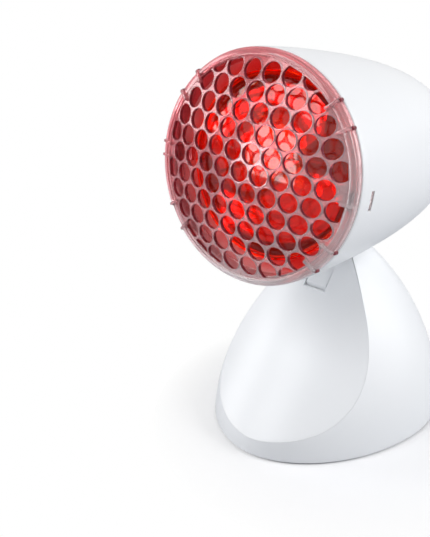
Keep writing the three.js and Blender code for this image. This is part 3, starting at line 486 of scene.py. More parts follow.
def grain_bump(tree, shader, size, height):
    """A fine surface relief with features of a size and a height in millimetres."""
    bump = add_node(
        tree, "ShaderNodeBump",
        {"Height": mottle(tree, size, 2.0), "Distance": height * MM, "Strength": 0.3},
    )
    tree.links.new(bump.outputs["Normal"], shader.inputs["Normal"])


def two_tone(tree, shader, blend, first, second):
    """Mixes two colours into the base colour, by a socket that runs from 0 to 1."""
    mix = add_node(tree, "ShaderNodeMix", {"Factor": blend}, data_type="RGBA")
    mix.inputs["A"].default_value = (*first, 1)
    mix.inputs["B"].default_value = (*second, 1)
    tree.links.new(mix.outputs["Result"], shader.inputs["Base Color"])


def white_abs(finish):
    """Injection-moulded white ABS from a polished tool."""
    # The eye sees a clean cool white with wide soft highlights and a faint orange-peel ripple.
    material, tree, shader = new_finish("moulded_white_abs", IOR=1.52)
    two_tone(tree, shader, mottle(tree, 30), finish.housing, finish.housing_shade)
    polish(tree, shader, 12, 0.36, 0.39)
    grain_bump(tree, shader, 6, 0.001)
    return material


def clear_polycarbonate(finish):
    """Moulded clear polycarbonate."""
    # The eye sees a clear web and rim, clear at the bottom and on the lamp's left, with a painted pink glow
    # towards the top on its right that stands in for the lamp's red light in the plastic.
    material, tree, shader = new_finish(
        "moulded_clear_polycarbonate", IOR=1.585, Specular_IOR_Level=0.35, Transmission_Weight=0.74
    )
    place = add_node(tree, "ShaderNodeTexCoord")
    height = add_node(
        tree, "ShaderNodeVectorMath", {0: place.outputs["Object"], 1: (-0.6, 0.0, 0.8)},
        operation="DOT_PRODUCT",
    )
    # Painted glow: this share, from the height on the guard, mixes the pink into the base colour.
    painted_glow_share = add_node(
        tree, "ShaderNodeMapRange",
        {"Value": height.outputs["Value"], "From Min": 0.08, "From Max": 0.145},
    )
    two_tone(tree, shader, painted_glow_share.outputs["Result"], finish.guard, finish.guard_lit)
    polish(tree, shader, 6, 0.03, 0.08)
    grain_bump(tree, shader, 8, 0.001)
    return material


def hole_wall_painted_shade(finish):
    """The same polycarbonate at the walls of the holes, painted with a dark red shade."""
    # The eye sees a thin dark wine-red line round each hole, which is painted shade.
    material, tree, shader = new_finish(
        "moulded_polycarbonate_edge", IOR=1.585, Specular_IOR_Level=0.35, Transmission_Weight=0.5
    )
    two_tone(tree, shader, mottle(tree, 20), finish.guard_edge, darker(finish.guard_edge, 0.8))
    polish(tree, shader, 6, 0.1, 0.16)
    return material


def ruby_glass(finish):
    """Pressed ruby-red glass."""
    # The eye sees glowing glossy red, with orange and deeper red patches in noise that are painted reflection.
    material, tree, shader = new_finish(
        "pressed_ruby_glass", IOR=1.52, Specular_IOR_Level=0.11, Transmission_Weight=0.94,
        Emission_Color=finish.glow, Emission_Strength=0.03,
    )
    two_tone(tree, shader, mottle(tree, 26, 1.0), finish.ruby, finish.ruby_deep)
    polish(tree, shader, 12, 0.02, 0.05)
    grain_bump(tree, shader, 30, 0.004)
    return material


def vapour_mirror(finish):
    """Aluminium vapour-coated inside of the lamp's glass."""
    # The eye sees a bright mirror with a slight haze, red through the front glass.
    material, tree, shader = new_finish("aluminised_glass", Base_Color=finish.mirror, Metallic=1.0)
    polish(tree, shader, 10, 0.04, 0.09)
    grain_bump(tree, shader, 8, 0.004)
    return material


def lit_ruby(finish):
    """Ruby glass of the lamp's sides, with the lamp's own light leaking through."""
    # The eye sees an even deep red behind the guard's outermost holes.
    material, tree, shader = new_finish(
        "glowing_ruby_glass", IOR=1.52, Emission_Color=finish.glow, Emission_Strength=0.3,
    )
    two_tone(tree, shader, mottle(tree, 12), finish.ruby_deep, finish.ruby)
    polish(tree, shader, 8, 0.1, 0.2)
    return material


def metal(name, tint, low, high, grain):
    """A plain metal whose polish varies between two roughnesses."""
    material, tree, shader = new_finish(name, Base_Color=tint, Metallic=1.0)
    polish(tree, shader, grain, low, high)
    grain_bump(tree, shader, grain / 4, 0.004)
    return material


def moulded(name, tint, shade_share, low, high, grain, relief, ior):
    """A moulded or fired non-metal with a two-tone body and a fine relief."""
    material, tree, shader = new_finish(name, IOR=ior)
    two_tone(tree, shader, mottle(tree, grain * 6), tint, darker(tint, shade_share))
    polish(tree, shader, grain * 3, low, high)
    grain_bump(tree, shader, grain, relief)
    return material


def darker(tint, by):
    """A colour scaled towards black."""
    return tuple(channel * by for channel in tint)


def all_finishes(finish):
    """Every material of the lamp by the record's slot."""
    return {
        "housing_plastic": white_abs(finish),
        "guard_plastic": clear_polycarbonate(finish),
        "guard_edge": hole_wall_painted_shade(finish),
        "red_glass": ruby_glass(finish),
        "reflector_glass": vapour_mirror(finish),
        "lit_glass": lit_ruby(finish),
        # Drawn brass strip: warm, with soft streaks of polish.
        "brass": metal("drawn_brass", finish.brass, 0.25, 0.4, 3),
        # Bright zinc plate: grey, faintly mottled.
        "steel": metal("zinc_plated_steel", finish.zinc, 0.28, 0.42, 2),
        # Drawn tungsten wire: dull and dark.
        "tungsten": metal("drawn_tungsten", finish.tungsten, 0.4, 0.55, 1),
        # Glazed porcelain: warm white under a hard gloss.
        "ceramic": moulded("glazed_porcelain", finish.porcelain, 0.95, 0.12, 0.2, 3, 0.01, 1.52),
        # Moulded nylon: satin, slightly waxy.
        "nylon": moulded("moulded_nylon", finish.nylon, 0.95, 0.4, 0.5, 1.5, 0.01, 1.53),
        # Moulded rubber: soft matt grey.
        "rubber": moulded("moulded_rubber", finish.rubber, 0.9, 0.65, 0.8, 0.8, 0.02, 1.5),
        # Black vitrite glass: dense and glossy.
        "black_glass": moulded("vitrite_glass", finish.black_glass, 0.8, 0.1, 0.2, 2, 0.01, 1.52),
    }


def finish_of(slot):
    """The made material of a slot."""
    return bpy.data.materials[bpy.context.scene["heat_lamp_slots"][slot]]


class HEATLAMP_OT_finishes(bpy.types.Operator):
    """Make the materials and give each CAD node its own"""

    bl_idname = "heat_lamp.finishes"
    bl_label = "Finishes"

    def execute(self, context):
        made = all_finishes(context.scene.heat_lamp_finish)
        context.scene["heat_lamp_slots"] = {slot: material.name for slot, material in made.items()}
        for part in frame["record"]["subparts"]:
            node = frame["nodes"][part["node"]]
            node.data.materials.clear()
            node.data.materials.append(made[part["material_slot"]])
        return {"FINISHED"}


# Guard

def hole_centres(head):
    """Centres of the honeycomb's holes, without the two places taken by the latches."""
    reach = int(np.ceil(head.honeycomb_radius / head.hole_pitch)) + 2
    row, column = np.meshgrid(np.arange(-reach, reach + 1), np.arange(-2 * reach, 2 * reach + 1))
    centres = np.stack([column + row / 2, row * np.sqrt(3) / 2], axis=-1).reshape(-1, 2)
    centres = centres * head.hole_pitch
    far = np.linalg.norm(centres, axis=1)
    inside = far < head.honeycomb_radius + head.hole_radius / 2
    latch = (np.abs(centres[:, 1]) < head.hole_radius) & (far > head.honeycomb_radius)
    return centres[inside & ~latch]


def honeycomb(head, steps, plate_radius, edge=0.16 * MM):
    """The guard's pierced plate, one ring of surface round each hole.

    Round each hole, at each angle, a ray runs from the hole's edge to the nearest of the
    lines halfway to the other holes and the plate's circle. A profile follows the ray: along
    the front, over a rounded edge, through the hole, and back along the rear.
    """
    centres = hole_centres(head)
    far = np.linalg.norm(centres, axis=1, keepdims=True)
    outward = centres / np.maximum(far, 1e-9)
    cut = far + head.hole_radius > head.honeycomb_radius
    outermost = np.minimum(far + head.hole_radius, head.honeycomb_radius)
    middle = (far - head.hole_radius + outermost) / 2
    start = np.where(cut, outward * middle, centres)
    angle = full_turn(steps)
    ray = np.stack([np.cos(angle), np.sin(angle)], axis=-1)

    shift = start - centres
    along = shift @ ray.T
    room = along**2 - (shift**2).sum(1)[:, None] + head.hole_radius**2
    hole = -along + np.sqrt(np.maximum(room, 0))
    slant = outward @ ray.T
    left = head.honeycomb_radius - np.linalg.norm(start, axis=1, keepdims=True)
    hole = np.where(cut & (slant > 0), np.minimum(hole, left / np.maximum(slant, 1e-6)), hole)

    apart = centres[None, :, :] - centres[:, None, :]
    half = ((centres**2).sum(1)[None, :] - (centres**2).sum(1)[:, None]) / 2
    lead = half - (start[:, None, :] * apart).sum(-1)
    slope = np.einsum("ijk,ak->ija", apart, ray)
    reach = np.where(slope > 1e-9, lead[:, :, None] / np.maximum(slope, 1e-9), np.inf).min(axis=1)
    dot = start @ ray.T
    circle = -dot + np.sqrt(dot**2 - (start**2).sum(1)[:, None] + plate_radius**2)
    on_rim = circle <= reach
    reach = np.minimum(reach, circle)

    lip = np.minimum(edge, 0.48 * (reach - hole))
    quarter = np.linspace(0, np.pi / 2, 4)
    away, depth = [reach, (reach + hole + lip) / 2], [0 * reach, 0 * reach]
    for turn in quarter:
        away.append(hole + lip * (1 - np.sin(turn)))
        depth.append(lip * (1 - np.cos(turn)))
    for turn in quarter[::-1]:
        away.append(hole + lip * (1 - np.sin(turn)))
        depth.append(head.guard_thickness - lip * (1 - np.cos(turn)))
    away += [(reach + hole + lip) / 2, reach]
    depth += [head.guard_thickness + 0 * reach] * 2
    away, depth = np.stack(away, axis=1), np.stack(depth, axis=1)

    flat_place = start[:, None, None, :] + away[..., None] * ray[None, None]
    across, up = flat_place[..., 0], flat_place[..., 1]
    back = guard_depth(head, np.hypot(across, up)) + depth
    points = head_place(head, across, back, up)
    cells, rows = away.shape[:2]
    ring = grid_faces(rows, steps, close_columns=True)
    faces = (ring[None] + (np.arange(cells) * rows * steps)[:, None, None]).reshape(-1, 4)
    edge_faces = rim_walls(on_rim, rows, steps)
    return points.reshape(-1, 3), np.concatenate([faces, edge_faces])


def rim_walls(on_rim, rows, steps):
    """Quads that close the plate's outer edge where two neighbouring rays both end there."""
    both = on_rim & np.roll(on_rim, -1, axis=1)
    cell, step = np.nonzero(both)
    first = cell * rows * steps
    last = first + (rows - 1) * steps
    after = (step + 1) % steps
    return np.stack([first + step, first + after, last + after, last + step], axis=-1)


def band_share(angle, tabs, half, soft):
    """How much of the raised band is there at an angle: 0 across a tab, 1 elsewhere."""
    gap = np.abs((angle[:, None] - tabs[None, :] + np.pi) % (2 * np.pi) - np.pi)
    return np.clip((gap - half) / soft, 0, 1).min(axis=1)


def skirt(head):
    """Outer and inner radius of the skirt that slides into the housing's mouth."""
    outer = head.bell_radius - head.bell_wall - 0.6 * MM
    return outer, outer - 1.6 * MM


def guard_rim(head, steps):
    """The guard's turned edge with its raised band and the skirt behind it.

    The profile is the same all round, but for the band's height, which falls to nothing
    across each tab. Each point of its front has a radius, a depth behind the dome and the
    share of the band's height that it stands up by.
    """
    angle = full_turn(steps)
    ramp = np.radians(0.8)
    tall = head.band_height * band_share(
        angle, np.radians(TAB_MIDDLES), np.radians(TAB_HALF), ramp
    )
    inner, outer = head.honeycomb_radius + 0.55 * MM, head.guard_radius
    thick, proud = head.guard_thickness, 0.15 * MM
    low, high = inner + 0.55 * MM, outer - 0.6 * MM
    soft = 0.35 * MM
    skirt_out, skirt_in = skirt(head)
    end, turned_in = head.mouth_behind + 5 * MM, 0.2 * MM
    front = np.array([
        (inner, -proud, 0), (low - soft, -proud, 0), (low, -proud, 0.15), (low, 0, 0.7),
        (low + 0.3 * soft, 0, 0.92), (low + soft, 0, 1), ((low + high) / 2, -0.1 * MM, 1),
        (high - soft, 0, 1), (high - 0.3 * soft, 0, 0.92), (high, 0, 0.7), (high, -proud, 0.15),
        (high + soft, -proud, 0), (outer - 0.1 * MM, -proud, 0), (outer, 0.1 * MM, 0),
        (outer, thick, 0), (outer - 0.15 * MM, thick + proud, 0), (skirt_out, thick + proud, 0),
    ])
    rear = np.array([
        (skirt_out, end - turned_in), (skirt_out - turned_in, end), (skirt_in + turned_in, end),
        (skirt_in, end - turned_in), (skirt_in, guard_depth(head, skirt_in) + thick + proud),
        (inner, guard_depth(head, inner) + thick),
    ])
    radius = front[:, :1] + 0 * angle
    back = guard_depth(head, radius) + (front[:, 1:2] - front[:, 2:] * tall)
    radius = np.concatenate([radius, rear[:, :1] + 0 * angle])
    back = np.concatenate([back, rear[:, 1:] + 0 * angle])
    points = head_place(head, radius * np.cos(angle), back, radius * np.sin(angle))
    return points, grid_faces(len(radius), steps, close_rows=True, close_columns=True)


def box_grid(low, high):
    """The eight corners and six faces of a box."""
    x, y, z = np.meshgrid(*zip(low, high), indexing="ij")
    faces = [[0, 1, 3, 2], [4, 6, 7, 5], [0, 4, 5, 1], [2, 3, 7, 6], [0, 2, 6, 4], [1, 5, 7, 3]]
    return np.stack([x, y, z], axis=-1).reshape(-1, 3), np.array(faces)


def turned_boxes(head, boxes):
    """Boxes in the head's frame as one mesh, each leant back by a slope about its own middle.

    Each is then turned about the lamp's axis, from its place on the head's left side.
    """
    points, faces = [], []
    for low, high, angle, slope in boxes:
        corners, quads = box_grid(low, high)
        middle = corners.mean(axis=0)
        dx, db = (corners - middle)[:, 0], (corners - middle)[:, 1]
        x = dx * np.cos(slope) - db * np.sin(slope) + middle[0]
        back = dx * np.sin(slope) + db * np.cos(slope) + middle[1]
        side = corners[:, 2]
        across = x * np.cos(angle) - side * np.sin(angle)
        up = x * np.sin(angle) + side * np.cos(angle)
        faces.append(quads + len(corners) * len(points))
        points.append(head_place(head, across, back, up))
    return np.concatenate(points), np.concatenate(faces)


def guard_ribs(head):
    """Thin raised walls beside each tab and each latch."""
    inner, outer = head.honeycomb_radius - 2.2 * MM, head.guard_radius + 0.3 * MM
    middle, half = (inner + outer) / 2, 0.6 * MM
    slope = np.arctan(2 * head.guard_bulge * middle / head.guard_radius**2)
    depth = guard_depth(head, middle)
    low, high = (inner, depth - 1.5 * MM, -half), (outer, depth + 0.8 * MM, half)
    sides = np.radians([*TAB_SIDES, *LATCH_RIBS])
    return turned_boxes(head, [(low, high, side, slope) for side in sides])


def latch_angles(head):
    """Angles of the two latches round the lamp's axis."""
    return -head.latch_turn, np.pi + head.latch_turn


def guard_latches(head):
    """The two spring arms, each with a tongue in the housing's slit."""
    outer, inner = skirt(head)
    start, half = head.mouth_behind, 3.9 * MM
    arm = (inner, start, -half), (outer - 0.6 * MM, start + 12.4 * MM, half)
    tongue = (
        (inner, start + 8.5 * MM, -half), (head.bell_radius - 0.5 * MM, start + 10.3 * MM, half)
    )
    return turned_boxes(
        head, [(*box, angle, 0.0) for angle in latch_angles(head) for box in (arm, tongue)]
    )


def guard_nubs(head, steps=16):
    """Small round bumps on the rim's edge beside each tab, as short capped bars.

    Round the bar's own axis, at each angle a, the offsets are r cos a and r sin a.
    """
    sides = np.radians(TAB_SIDES)
    turn = full_turn(steps)
    radius = np.array([0, 0.7, 0.95, 0.95, 0.7, 0]) * MM
    reach = np.array([0, 0, 0.25, 2.0, 2.25, 2.25]) * MM + head.guard_bulge - 0.2 * MM
    rings = radius[None, :, None]
    across = head.guard_radius * np.cos(sides)[:, None, None] + rings * np.cos(turn)
    up = head.guard_radius * np.sin(sides)[:, None, None] + rings * np.sin(turn)
    back = reach[None, :, None] + 0 * across
    ring = grid_faces(len(radius), steps, close_columns=True)
    faces = ring[None] + (np.arange(len(sides)) * len(radius) * steps)[:, None, None]
    return head_place(head, across, back, up), faces.reshape(-1, 4)


def lamp_axis(head):
    """The lamp's axis, from its nose backwards, as a unit vector."""
    return np.array([0, np.cos(head.rest_tilt), -np.sin(head.rest_tilt)])


def facing(piece):
    """Middles and normals of a piece's faces."""
    faces = piece.data.polygons
    found = []
    for name in ("center", "normal"):
        values = np.empty(3 * len(faces))
        faces.foreach_get(name, values)
        found.append(values.reshape(-1, 3))
    return found


def paint(piece, slot, chosen):
    """Gives the chosen faces of a piece a second material."""
    piece.data.materials.append(finish_of(slot))
    piece.data.polygons.foreach_set("material_index", chosen.astype(np.int32))
    piece.data.update()


class HEATLAMP_OT_guard(bpy.types.Operator):
    """Make the clear guard: pierced plate, rim, ribs, latches and nubs"""

    bl_idname = "heat_lamp.guard"
    bl_label = "Guard"

    def execute(self, context):
        head, detail = context.scene.heat_lamp_head, context.scene.heat_lamp_detail
        plate_radius = head.honeycomb_radius + 0.5 * MM
        shapes = {
            "guard_plate": honeycomb(head, detail.hole_steps, plate_radius),
            "guard_rim": guard_rim(head, detail.round_steps * 2),
            "guard_ribs": guard_ribs(head),
            "guard_latches": guard_latches(head),
            "guard_nubs": guard_nubs(head),
        }
        for name, (points, faces) in shapes.items():
            weld = 0.004 if name == "guard_plate" else 0.002
            # The nubs take the same painted dark red shade as the hole walls.
            material = finish_of("guard_edge" if name == "guard_nubs" else "guard_plastic")
            piece = make_piece(name, points, faces, "head", "guard_plastic", 40.0, weld, material)
            if name in ("guard_ribs", "guard_latches"):
                soften(piece, 0.22, 2)
            if name == "guard_plate":
                # The hole walls, square to the lamp's axis, get the painted dark red shade.
                paint(piece, "guard_edge", np.abs(facing(piece)[1] @ lamp_axis(head)) < 0.5)
                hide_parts("protective_grille")
        return {"FINISHED"}


# Housing

def bell_profile(head):
    """Closed wall of the bell from rear to mouth outside and back inside, with a round lip.

    The inside follows the outside's formula, with its own radius and length. The lip is
    half an ellipse between them.
    """
    t = np.sin(np.linspace(0, np.pi / 2, 56))
    outside = head.mouth_behind + t * head.bell_length
    radius = bell_radius_at(head, outside)
    inside = head.mouth_behind + t * (head.bell_length - head.bell_wall)
    narrowing = (1 - t**head.length_power) ** (1 / head.round_power)
    inner_radius = (head.bell_radius - head.bell_wall) * narrowing
    radius[-1] = inner_radius[-1] = 0
    half = head.bell_wall / 2
    drop = 0.55 * half
    lip_end = head.mouth_behind + drop
    turn = np.linspace(0, np.pi, 9)[1:-1]
    lip_radius = head.bell_radius - half + half * np.cos(turn)
    lip = np.stack([lip_end - drop * np.sin(turn), lip_radius], axis=1)
    outer = np.stack([outside, radius], axis=1)[outside > lip_end][::-1]
    inner = np.stack([inside, inner_radius], axis=1)[inside > lip_end]
    start = [[lip_end, head.bell_radius]]
    stop = [[lip_end, head.bell_radius - head.bell_wall]]
    return np.concatenate([outer, start, lip, stop, inner])


def vent_cutters(head, count=12):
    """Boxes that cut the rear vents, set like the spokes of a wheel."""
    middle = head.mouth_behind + head.bell_length - 14 * MM
    half_length, half_width = 6.5 * MM, 1.1 * MM
    reach = bell_radius_at(head, middle)
    low = (0.5 * reach, middle - half_length, -half_width)
    high = (1.6 * reach, middle + half_length, half_width)
    return [(low, high, (i + 0.5) * 2 * np.pi / count, 0.0) for i in range(count)]


def latch_cutters(head):
    """Boxes that cut the two latch slits in the bell's sides."""
    start, half, radius = head.mouth_behind + 8.2 * MM, 4.2 * MM, head.bell_radius
    low, high = (radius - 6 * MM, start, -half), (radius + 3 * MM, start + 2.4 * MM, half)
    return [(low, high, angle, 0.0) for angle in latch_angles(head)]


def neck_outline(head):
    """Side outline of the neck, as (back, up) from the axle.

    Straight cheeks above, a round barrel about the axle below and, in front, an arc about
    the axle under a slanted face, which together fill the panel's slot.
    """
    half, overlap, cheek_end, face_end = 9.0 * MM, 1.2 * MM, 6.6 * MM, 6.0 * MM
    top = head.axis_above - bell_radius_at(head, head.nose_ahead) + overlap
    blend = np.linspace(0, 1, 8)
    cheek = np.stack([half + 0 * blend, top + (cheek_end - top) * blend], axis=1)
    arcs = []
    barrel, apron = (head.barrel_radius, 38, -130), (head.apron_radius, -125.5, -165.5)
    for radius, first, last in (barrel, apron):
        turn = np.radians(np.linspace(first, last, 30))
        arcs.append(radius * np.stack([np.cos(turn), np.sin(turn)], axis=1))
    front = np.array([[-half, face_end], [-half, top]])
    return np.concatenate([cheek, *arcs, front])


def neck_mesh(head):
    """The neck: its side outline carried straight across its width, and two caps."""
    outline = neck_outline(head)
    half = head.neck_width / 2
    width = np.linspace(-half, half, 5)
    back = head.nose_ahead + outline[:, 0]
    up = outline[:, 1] - head.axis_above
    points = head_place(head, width[:, None], back[None, :], up[None, :])
    rows, count = points.shape[:2]
    caps = [list(range(count)), list(range((rows - 1) * count, rows * count))]
    return points, grid_faces(rows, count, close_columns=True).tolist() + caps


class HEATLAMP_OT_housing(bpy.types.Operator):
    """Make the bell-shaped housing with its lip, vents, latch slits and neck"""

    bl_idname = "heat_lamp.housing"
    bl_label = "Housing"

    def execute(self, context):
        head, detail = context.scene.heat_lamp_head, context.scene.heat_lamp_detail
        points = head_turned(head, bell_profile(head), detail.round_steps)
        bell = ring_piece("bell", points, "head", "housing_plastic", 50.0)
        cutters = [
            make_piece("cutter", *turned_boxes(head, boxes), None, "housing_plastic")
            for boxes in (vent_cutters(head), latch_cutters(head))
        ]
        carve(bell, cutters, 40.0)
        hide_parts("housing_shell")
        neck = make_piece("neck", *neck_mesh(head), "head", "housing_plastic")
        soften(neck, 0.6)
        return {"FINISHED"}


# Pedestal

def even_turns(base, head, offset, first, last, count, closed, inset=0.0):
    """Angles round the dome that space the points of its top edge evenly.

    A small share of the angle itself keeps the spacing sound where the edge stands still.
    """
    fine = np.linspace(first, last, 4000)
    height, _ = top_edge(base, head, fine, offset, inset)
    x, y = dome_at(base, fine, height, inset)
    creep = 0.25 * MM * np.diff(fine)
    step = np.sqrt(np.diff(x) ** 2 + np.diff(y) ** 2 + np.diff(height) ** 2) + creep
    run = np.concatenate([[0], np.cumsum(step)])
    return np.interp(np.linspace(0, run[-1], count, endpoint=not closed), run, fine)


def shell_wall(base, head, turns, inset, rows, offset):
    """One face of the pedestal's shell: columns from the lower edge up to the cut."""
    top, _ = top_edge(base, head, turns, offset, inset)
    t = np.linspace(0, 1, rows)[:, None]
    height = base.lift + (top[None, :] - base.lift) * t
    x, y = dome_at(base, turns[None, :], height, inset)
    return np.stack([x, y, height], axis=-1)


class HEATLAMP_OT_pedestal(bpy.types.Operator):
    """Make the domed pedestal, cut for the panel and for the tilting head"""

    bl_idname = "heat_lamp.pedestal"
    bl_label = "Pedestal"

    def execute(self, context):
        scene = context.scene
        base, head, detail = scene.heat_lamp_pedestal, scene.heat_lamp_head, scene.heat_lamp_detail
        line, rows = 0.07 * MM, 56
        turns = even_turns(base, head, line, -np.pi / 2, 1.5 * np.pi, detail.outline_steps, True)
        outside = shell_wall(base, head, turns, 0.0, rows, line)
        inside = shell_wall(base, head, turns, base.wall, rows, base.panel_wall + base.seam)
        mesh = slab(outside, inside, close_columns=True)
        shell = make_piece("pedestal_shell", *mesh, "base", "housing_plastic", 40.0)
        soften(shell, 0.15, sharp=50.0)
        carve(shell, [gland_cutter()], 50.0)
        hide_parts("base_shell")
        return {"FINISHED"}


def gland_cutter():
    """A round bar along Y that cuts the gland's hole in the rear wall."""
    low, high, middle = box_of("cord_gland")
    radius, start, end = 5.2 * MM, low[1] - 8 * MM, high[1] + 8 * MM
    profile = np.array([(0, start), (radius, start), (radius, end), (0, end)])
    points = spun(profile, (middle[0], 0, middle[2]), 48, level=True)
    return ring_piece("cutter", points, None, "housing_plastic")


def panel_grid(base, head, offset, inset, rows=40, columns=150):
    """One face of the front panel, between the slot's edge and the panel's outline.

    The inner curve runs down one side of the slot, along its floor and up the other side.
    The outer curve is where the panel's face meets the dome, evenly spaced, and follows the
    dome straight up from the two places where they only touch. Straight lines join the
    curves, and each point is then set on the panel's curved face.
    """
    margin, last = 0.02, 14
    fine = np.linspace(-np.pi + margin, -margin, 6000)
    _, by_panel = top_edge(base, head, fine, offset, inset)
    front = np.nonzero(by_panel)[0]
    span = fine[front[0]], fine[front[-1]]
    turns = even_turns(base, head, offset, *span, columns - 2 * last, False, inset)
    z_out, _ = top_edge(base, head, turns, offset, inset)
    x_out, _ = dome_at(base, turns, z_out, inset)
    rise = np.linspace(z_out[-1], base.height * CROWN_SHARE, 400)
    x_rise, _ = dome_at(base, span[1], rise, inset)
    swept = inside_sweep(base, head, x_rise, panel_y(base, x_rise, rise, offset), rise)
    z_rise = np.linspace(z_out[-1], rise[max(np.argmax(swept > 0), 1)], last + 1)[1:]
    x_rise, _ = dome_at(base, span[1], z_rise, inset)
    x_out = np.concatenate([-x_rise[::-1], x_out, x_rise])
    z_out = np.concatenate([z_rise[::-1], z_out, z_rise])

    half = base.slot_width / 2
    rise = np.linspace(base.slot_floor, base.height, 400)
    swept = inside_sweep(base, head, half, panel_y(base, half, rise, offset), rise)
    top = rise[np.argmax(swept > 0)]
    side = top - base.slot_floor
    path_x = np.array([-half, -half, half, half])
    path_z = np.array([top, base.slot_floor, base.slot_floor, top])
    run = np.array([0, side, side + 2 * half, 2 * side + 2 * half])
    along = np.linspace(0, 1, columns) * run[-1]
    x_in, z_in = np.interp(along, run, path_x), np.interp(along, run, path_z)

    s = np.linspace(0, 1, rows)[:, None]
    x, z = x_in + (x_out - x_in) * s, z_in + (z_out - z_in) * s
    return np.stack([x, panel_y(base, x, z, offset), z], axis=-1)


class HEATLAMP_OT_panel(bpy.types.Operator):
    """Make the tongue-shaped front panel with the neck's slot"""

    bl_idname = "heat_lamp.panel"
    bl_label = "Front panel"

    def execute(self, context):
        base, head = context.scene.heat_lamp_pedestal, context.scene.heat_lamp_head
        front = panel_grid(base, head, 0.0, 0.0)
        back = panel_grid(base, head, base.panel_wall, base.wall + base.seam)
        panel = make_piece("tongue_panel", *slab(front, back), "base", "housing_plastic", 40.0)
        soften(panel, 0.2, sharp=50.0)
        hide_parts("front_panel")
        return {"FINISHED"}


# Reflector lamp

def lens_profile(head, shrink=0.0):
    """Front glass from apex to edge: the shallow part of an ellipse up to a share of its width."""
    bulge, radius, reach = 10.0 * MM, head.bulb_radius - shrink, 0.96
    t = np.sin(np.linspace(0, np.pi / 2, 30))
    sag = (bulge - shrink) * (1 - np.sqrt(1 - (reach * t) ** 2))
    return np.stack([head.bulb_behind + shrink + sag, radius * t], axis=1)


def reflector_profile(head, shrink, rim_back, neck_back):
    """The lamp's glass from its rim to its neck, narrowing along half a cosine wave."""
    t = np.linspace(0, 1, 40)
    waist = 15.5 * MM
    blend = (1 + np.cos(np.pi * t**1.15)) / 2
    radius = waist + (head.bulb_radius - waist) * blend - shrink
    return np.stack([rim_back + (neck_back - rim_back) * t, radius], axis=1)


def paint_outside(mirror, head):
    """Gives the faces that look away from the lamp's axis the glowing red glass."""
    centre, normal = facing(mirror)
    from_axis = centre - head_place(head, 0.0, head.bulb_behind, 0.0)
    spoke = from_axis - (from_axis @ lamp_axis(head))[:, None] * lamp_axis(head)
    paint(mirror, "lit_glass", (spoke * normal).sum(axis=1) > 0)


class HEATLAMP_OT_bulb(bpy.types.Operator):
    """Make the reflector lamp's front glass, mirrored glass and screw cap"""

    bl_idname = "heat_lamp.bulb"
    bl_label = "Reflector lamp"

    def execute(self, context):
        head, steps = context.scene.heat_lamp_head, context.scene.heat_lamp_detail.round_steps
        radius, wall, thick = head.bulb_radius, 1.6 * MM, 2.5 * MM
        rim = 10 * MM + head.bulb_behind
        outside, inside = lens_profile(head), lens_profile(head, thick)[::-1]
        edge = [
            [outside[-1, 0], radius], [rim - 0.6 * MM, radius], [rim, radius - 0.5 * MM],
            [rim, radius - wall],
        ]
        profile = np.concatenate([outside[:-1], edge, inside])
        points = head_turned(head, profile, steps)
        lens = ring_piece("ruby_lens", points, "head", "red_glass", 40.0)
        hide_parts("bulb_lens")

        cap_start = head.bulb_behind + head.bulb_length - CONTACT_LENGTH - CAP_LENGTH
        start, neck = rim + GLASS_GAP, cap_start - GLASS_GAP
        outer = reflector_profile(head, 0.0, start + 3 * MM, neck)
        inner = reflector_profile(head, wall, start + 3 * MM, neck)[::-1]
        profile = np.concatenate([[[start, radius]], outer, inner, [[start, radius - wall]]])
        points = head_turned(head, profile, steps)
        mirror = ring_piece("mirrored_glass", points, "head", "reflector_glass", 40.0, closed=True)
        paint_outside(mirror, head)
        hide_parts("bulb_reflector")
        self.make_cap(head, steps, cap_start)
        return {"FINISHED"}

    def make_cap(self, head, steps, start):
        """Rolled screw cap: r = r0 + h cos(2 pi s / pitch - a), the wave of a round thread.

        Here s runs along the axis from the cap's start, a is the angle, and the height h
        fades to nothing at both ends.
        """
        pitch, radius, height, wall, plain = 3.63 * MM, 12.6 * MM, 0.42 * MM, 0.4 * MM, 2 * MM
        end = head.bulb_behind + head.bulb_length - CONTACT_LENGTH - 2.2 * MM
        turn = full_turn(steps)[None, :]
        back = np.linspace(start + plain, end, 96)[:, None]
        fade = np.clip(np.minimum(back - start - plain, end - back) / plain, 0, 1)
        outer = radius + height * fade * np.cos(2 * np.pi * (back - start) / pitch - turn)
        walls = [
            head_place(head, r * np.cos(turn), back + 0 * turn, r * np.sin(turn))
            for r in (outer, outer - wall)
        ]
        mesh = slab(*walls, close_columns=True)
        cap = make_piece("screw_cap", *mesh, "head", "brass", 60.0)
        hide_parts("bulb_cap")


# Fittings

def foot_profile(radius, height):
    """A rubber pad: slightly hollow underneath, with a rounded lower edge."""
    turn = np.linspace(-np.pi / 2, 0, 7)
    lip, hollow = 0.7 * MM, 0.3 * MM
    under = [[0, hollow], [radius * 0.6, hollow], [radius * 0.7, 0]]
    edge = np.stack([radius - lip + lip * np.cos(turn), lip + lip * np.sin(turn)], axis=1)
    return np.concatenate([under, edge, [[radius - 0.3 * MM, height], [0, height]]])


def gland_profile(low, high):
    """The gland's bush along Y: inner flange, waist and a tapered outer flange."""
    bore, waist, flange, thick = 3.2 * MM, 5.0 * MM, 7.4 * MM, 1.6 * MM
    corners = [
        (bore, low), (flange, low), (flange, low + thick), (waist, low + thick),
        (waist, high - thick), (flange, high - thick), (waist + 0.8 * MM, high), (bore, high),
    ]
    return rounded(corners, 0.5 * MM)


def screw_profile(radius, length):
    """A pan-head screw, head down: a quarter ellipse, the head's flat back and the shank."""
    turn = np.linspace(-np.pi / 2, 0, 8)
    flat, pan_height, head_height, shank = 0.55, 0.9 * MM, 1.3 * MM, 1.3 * MM
    across = radius * (flat + (1 - flat) * np.cos(turn))
    pan = np.stack([across, pan_height * (1 + np.sin(turn))], axis=1)
    rest = [
        [radius, head_height], [shank, head_height], [shank, length - 1 * MM], [0, length],
    ]
    return np.concatenate([[[0, 0]], pan, rest])


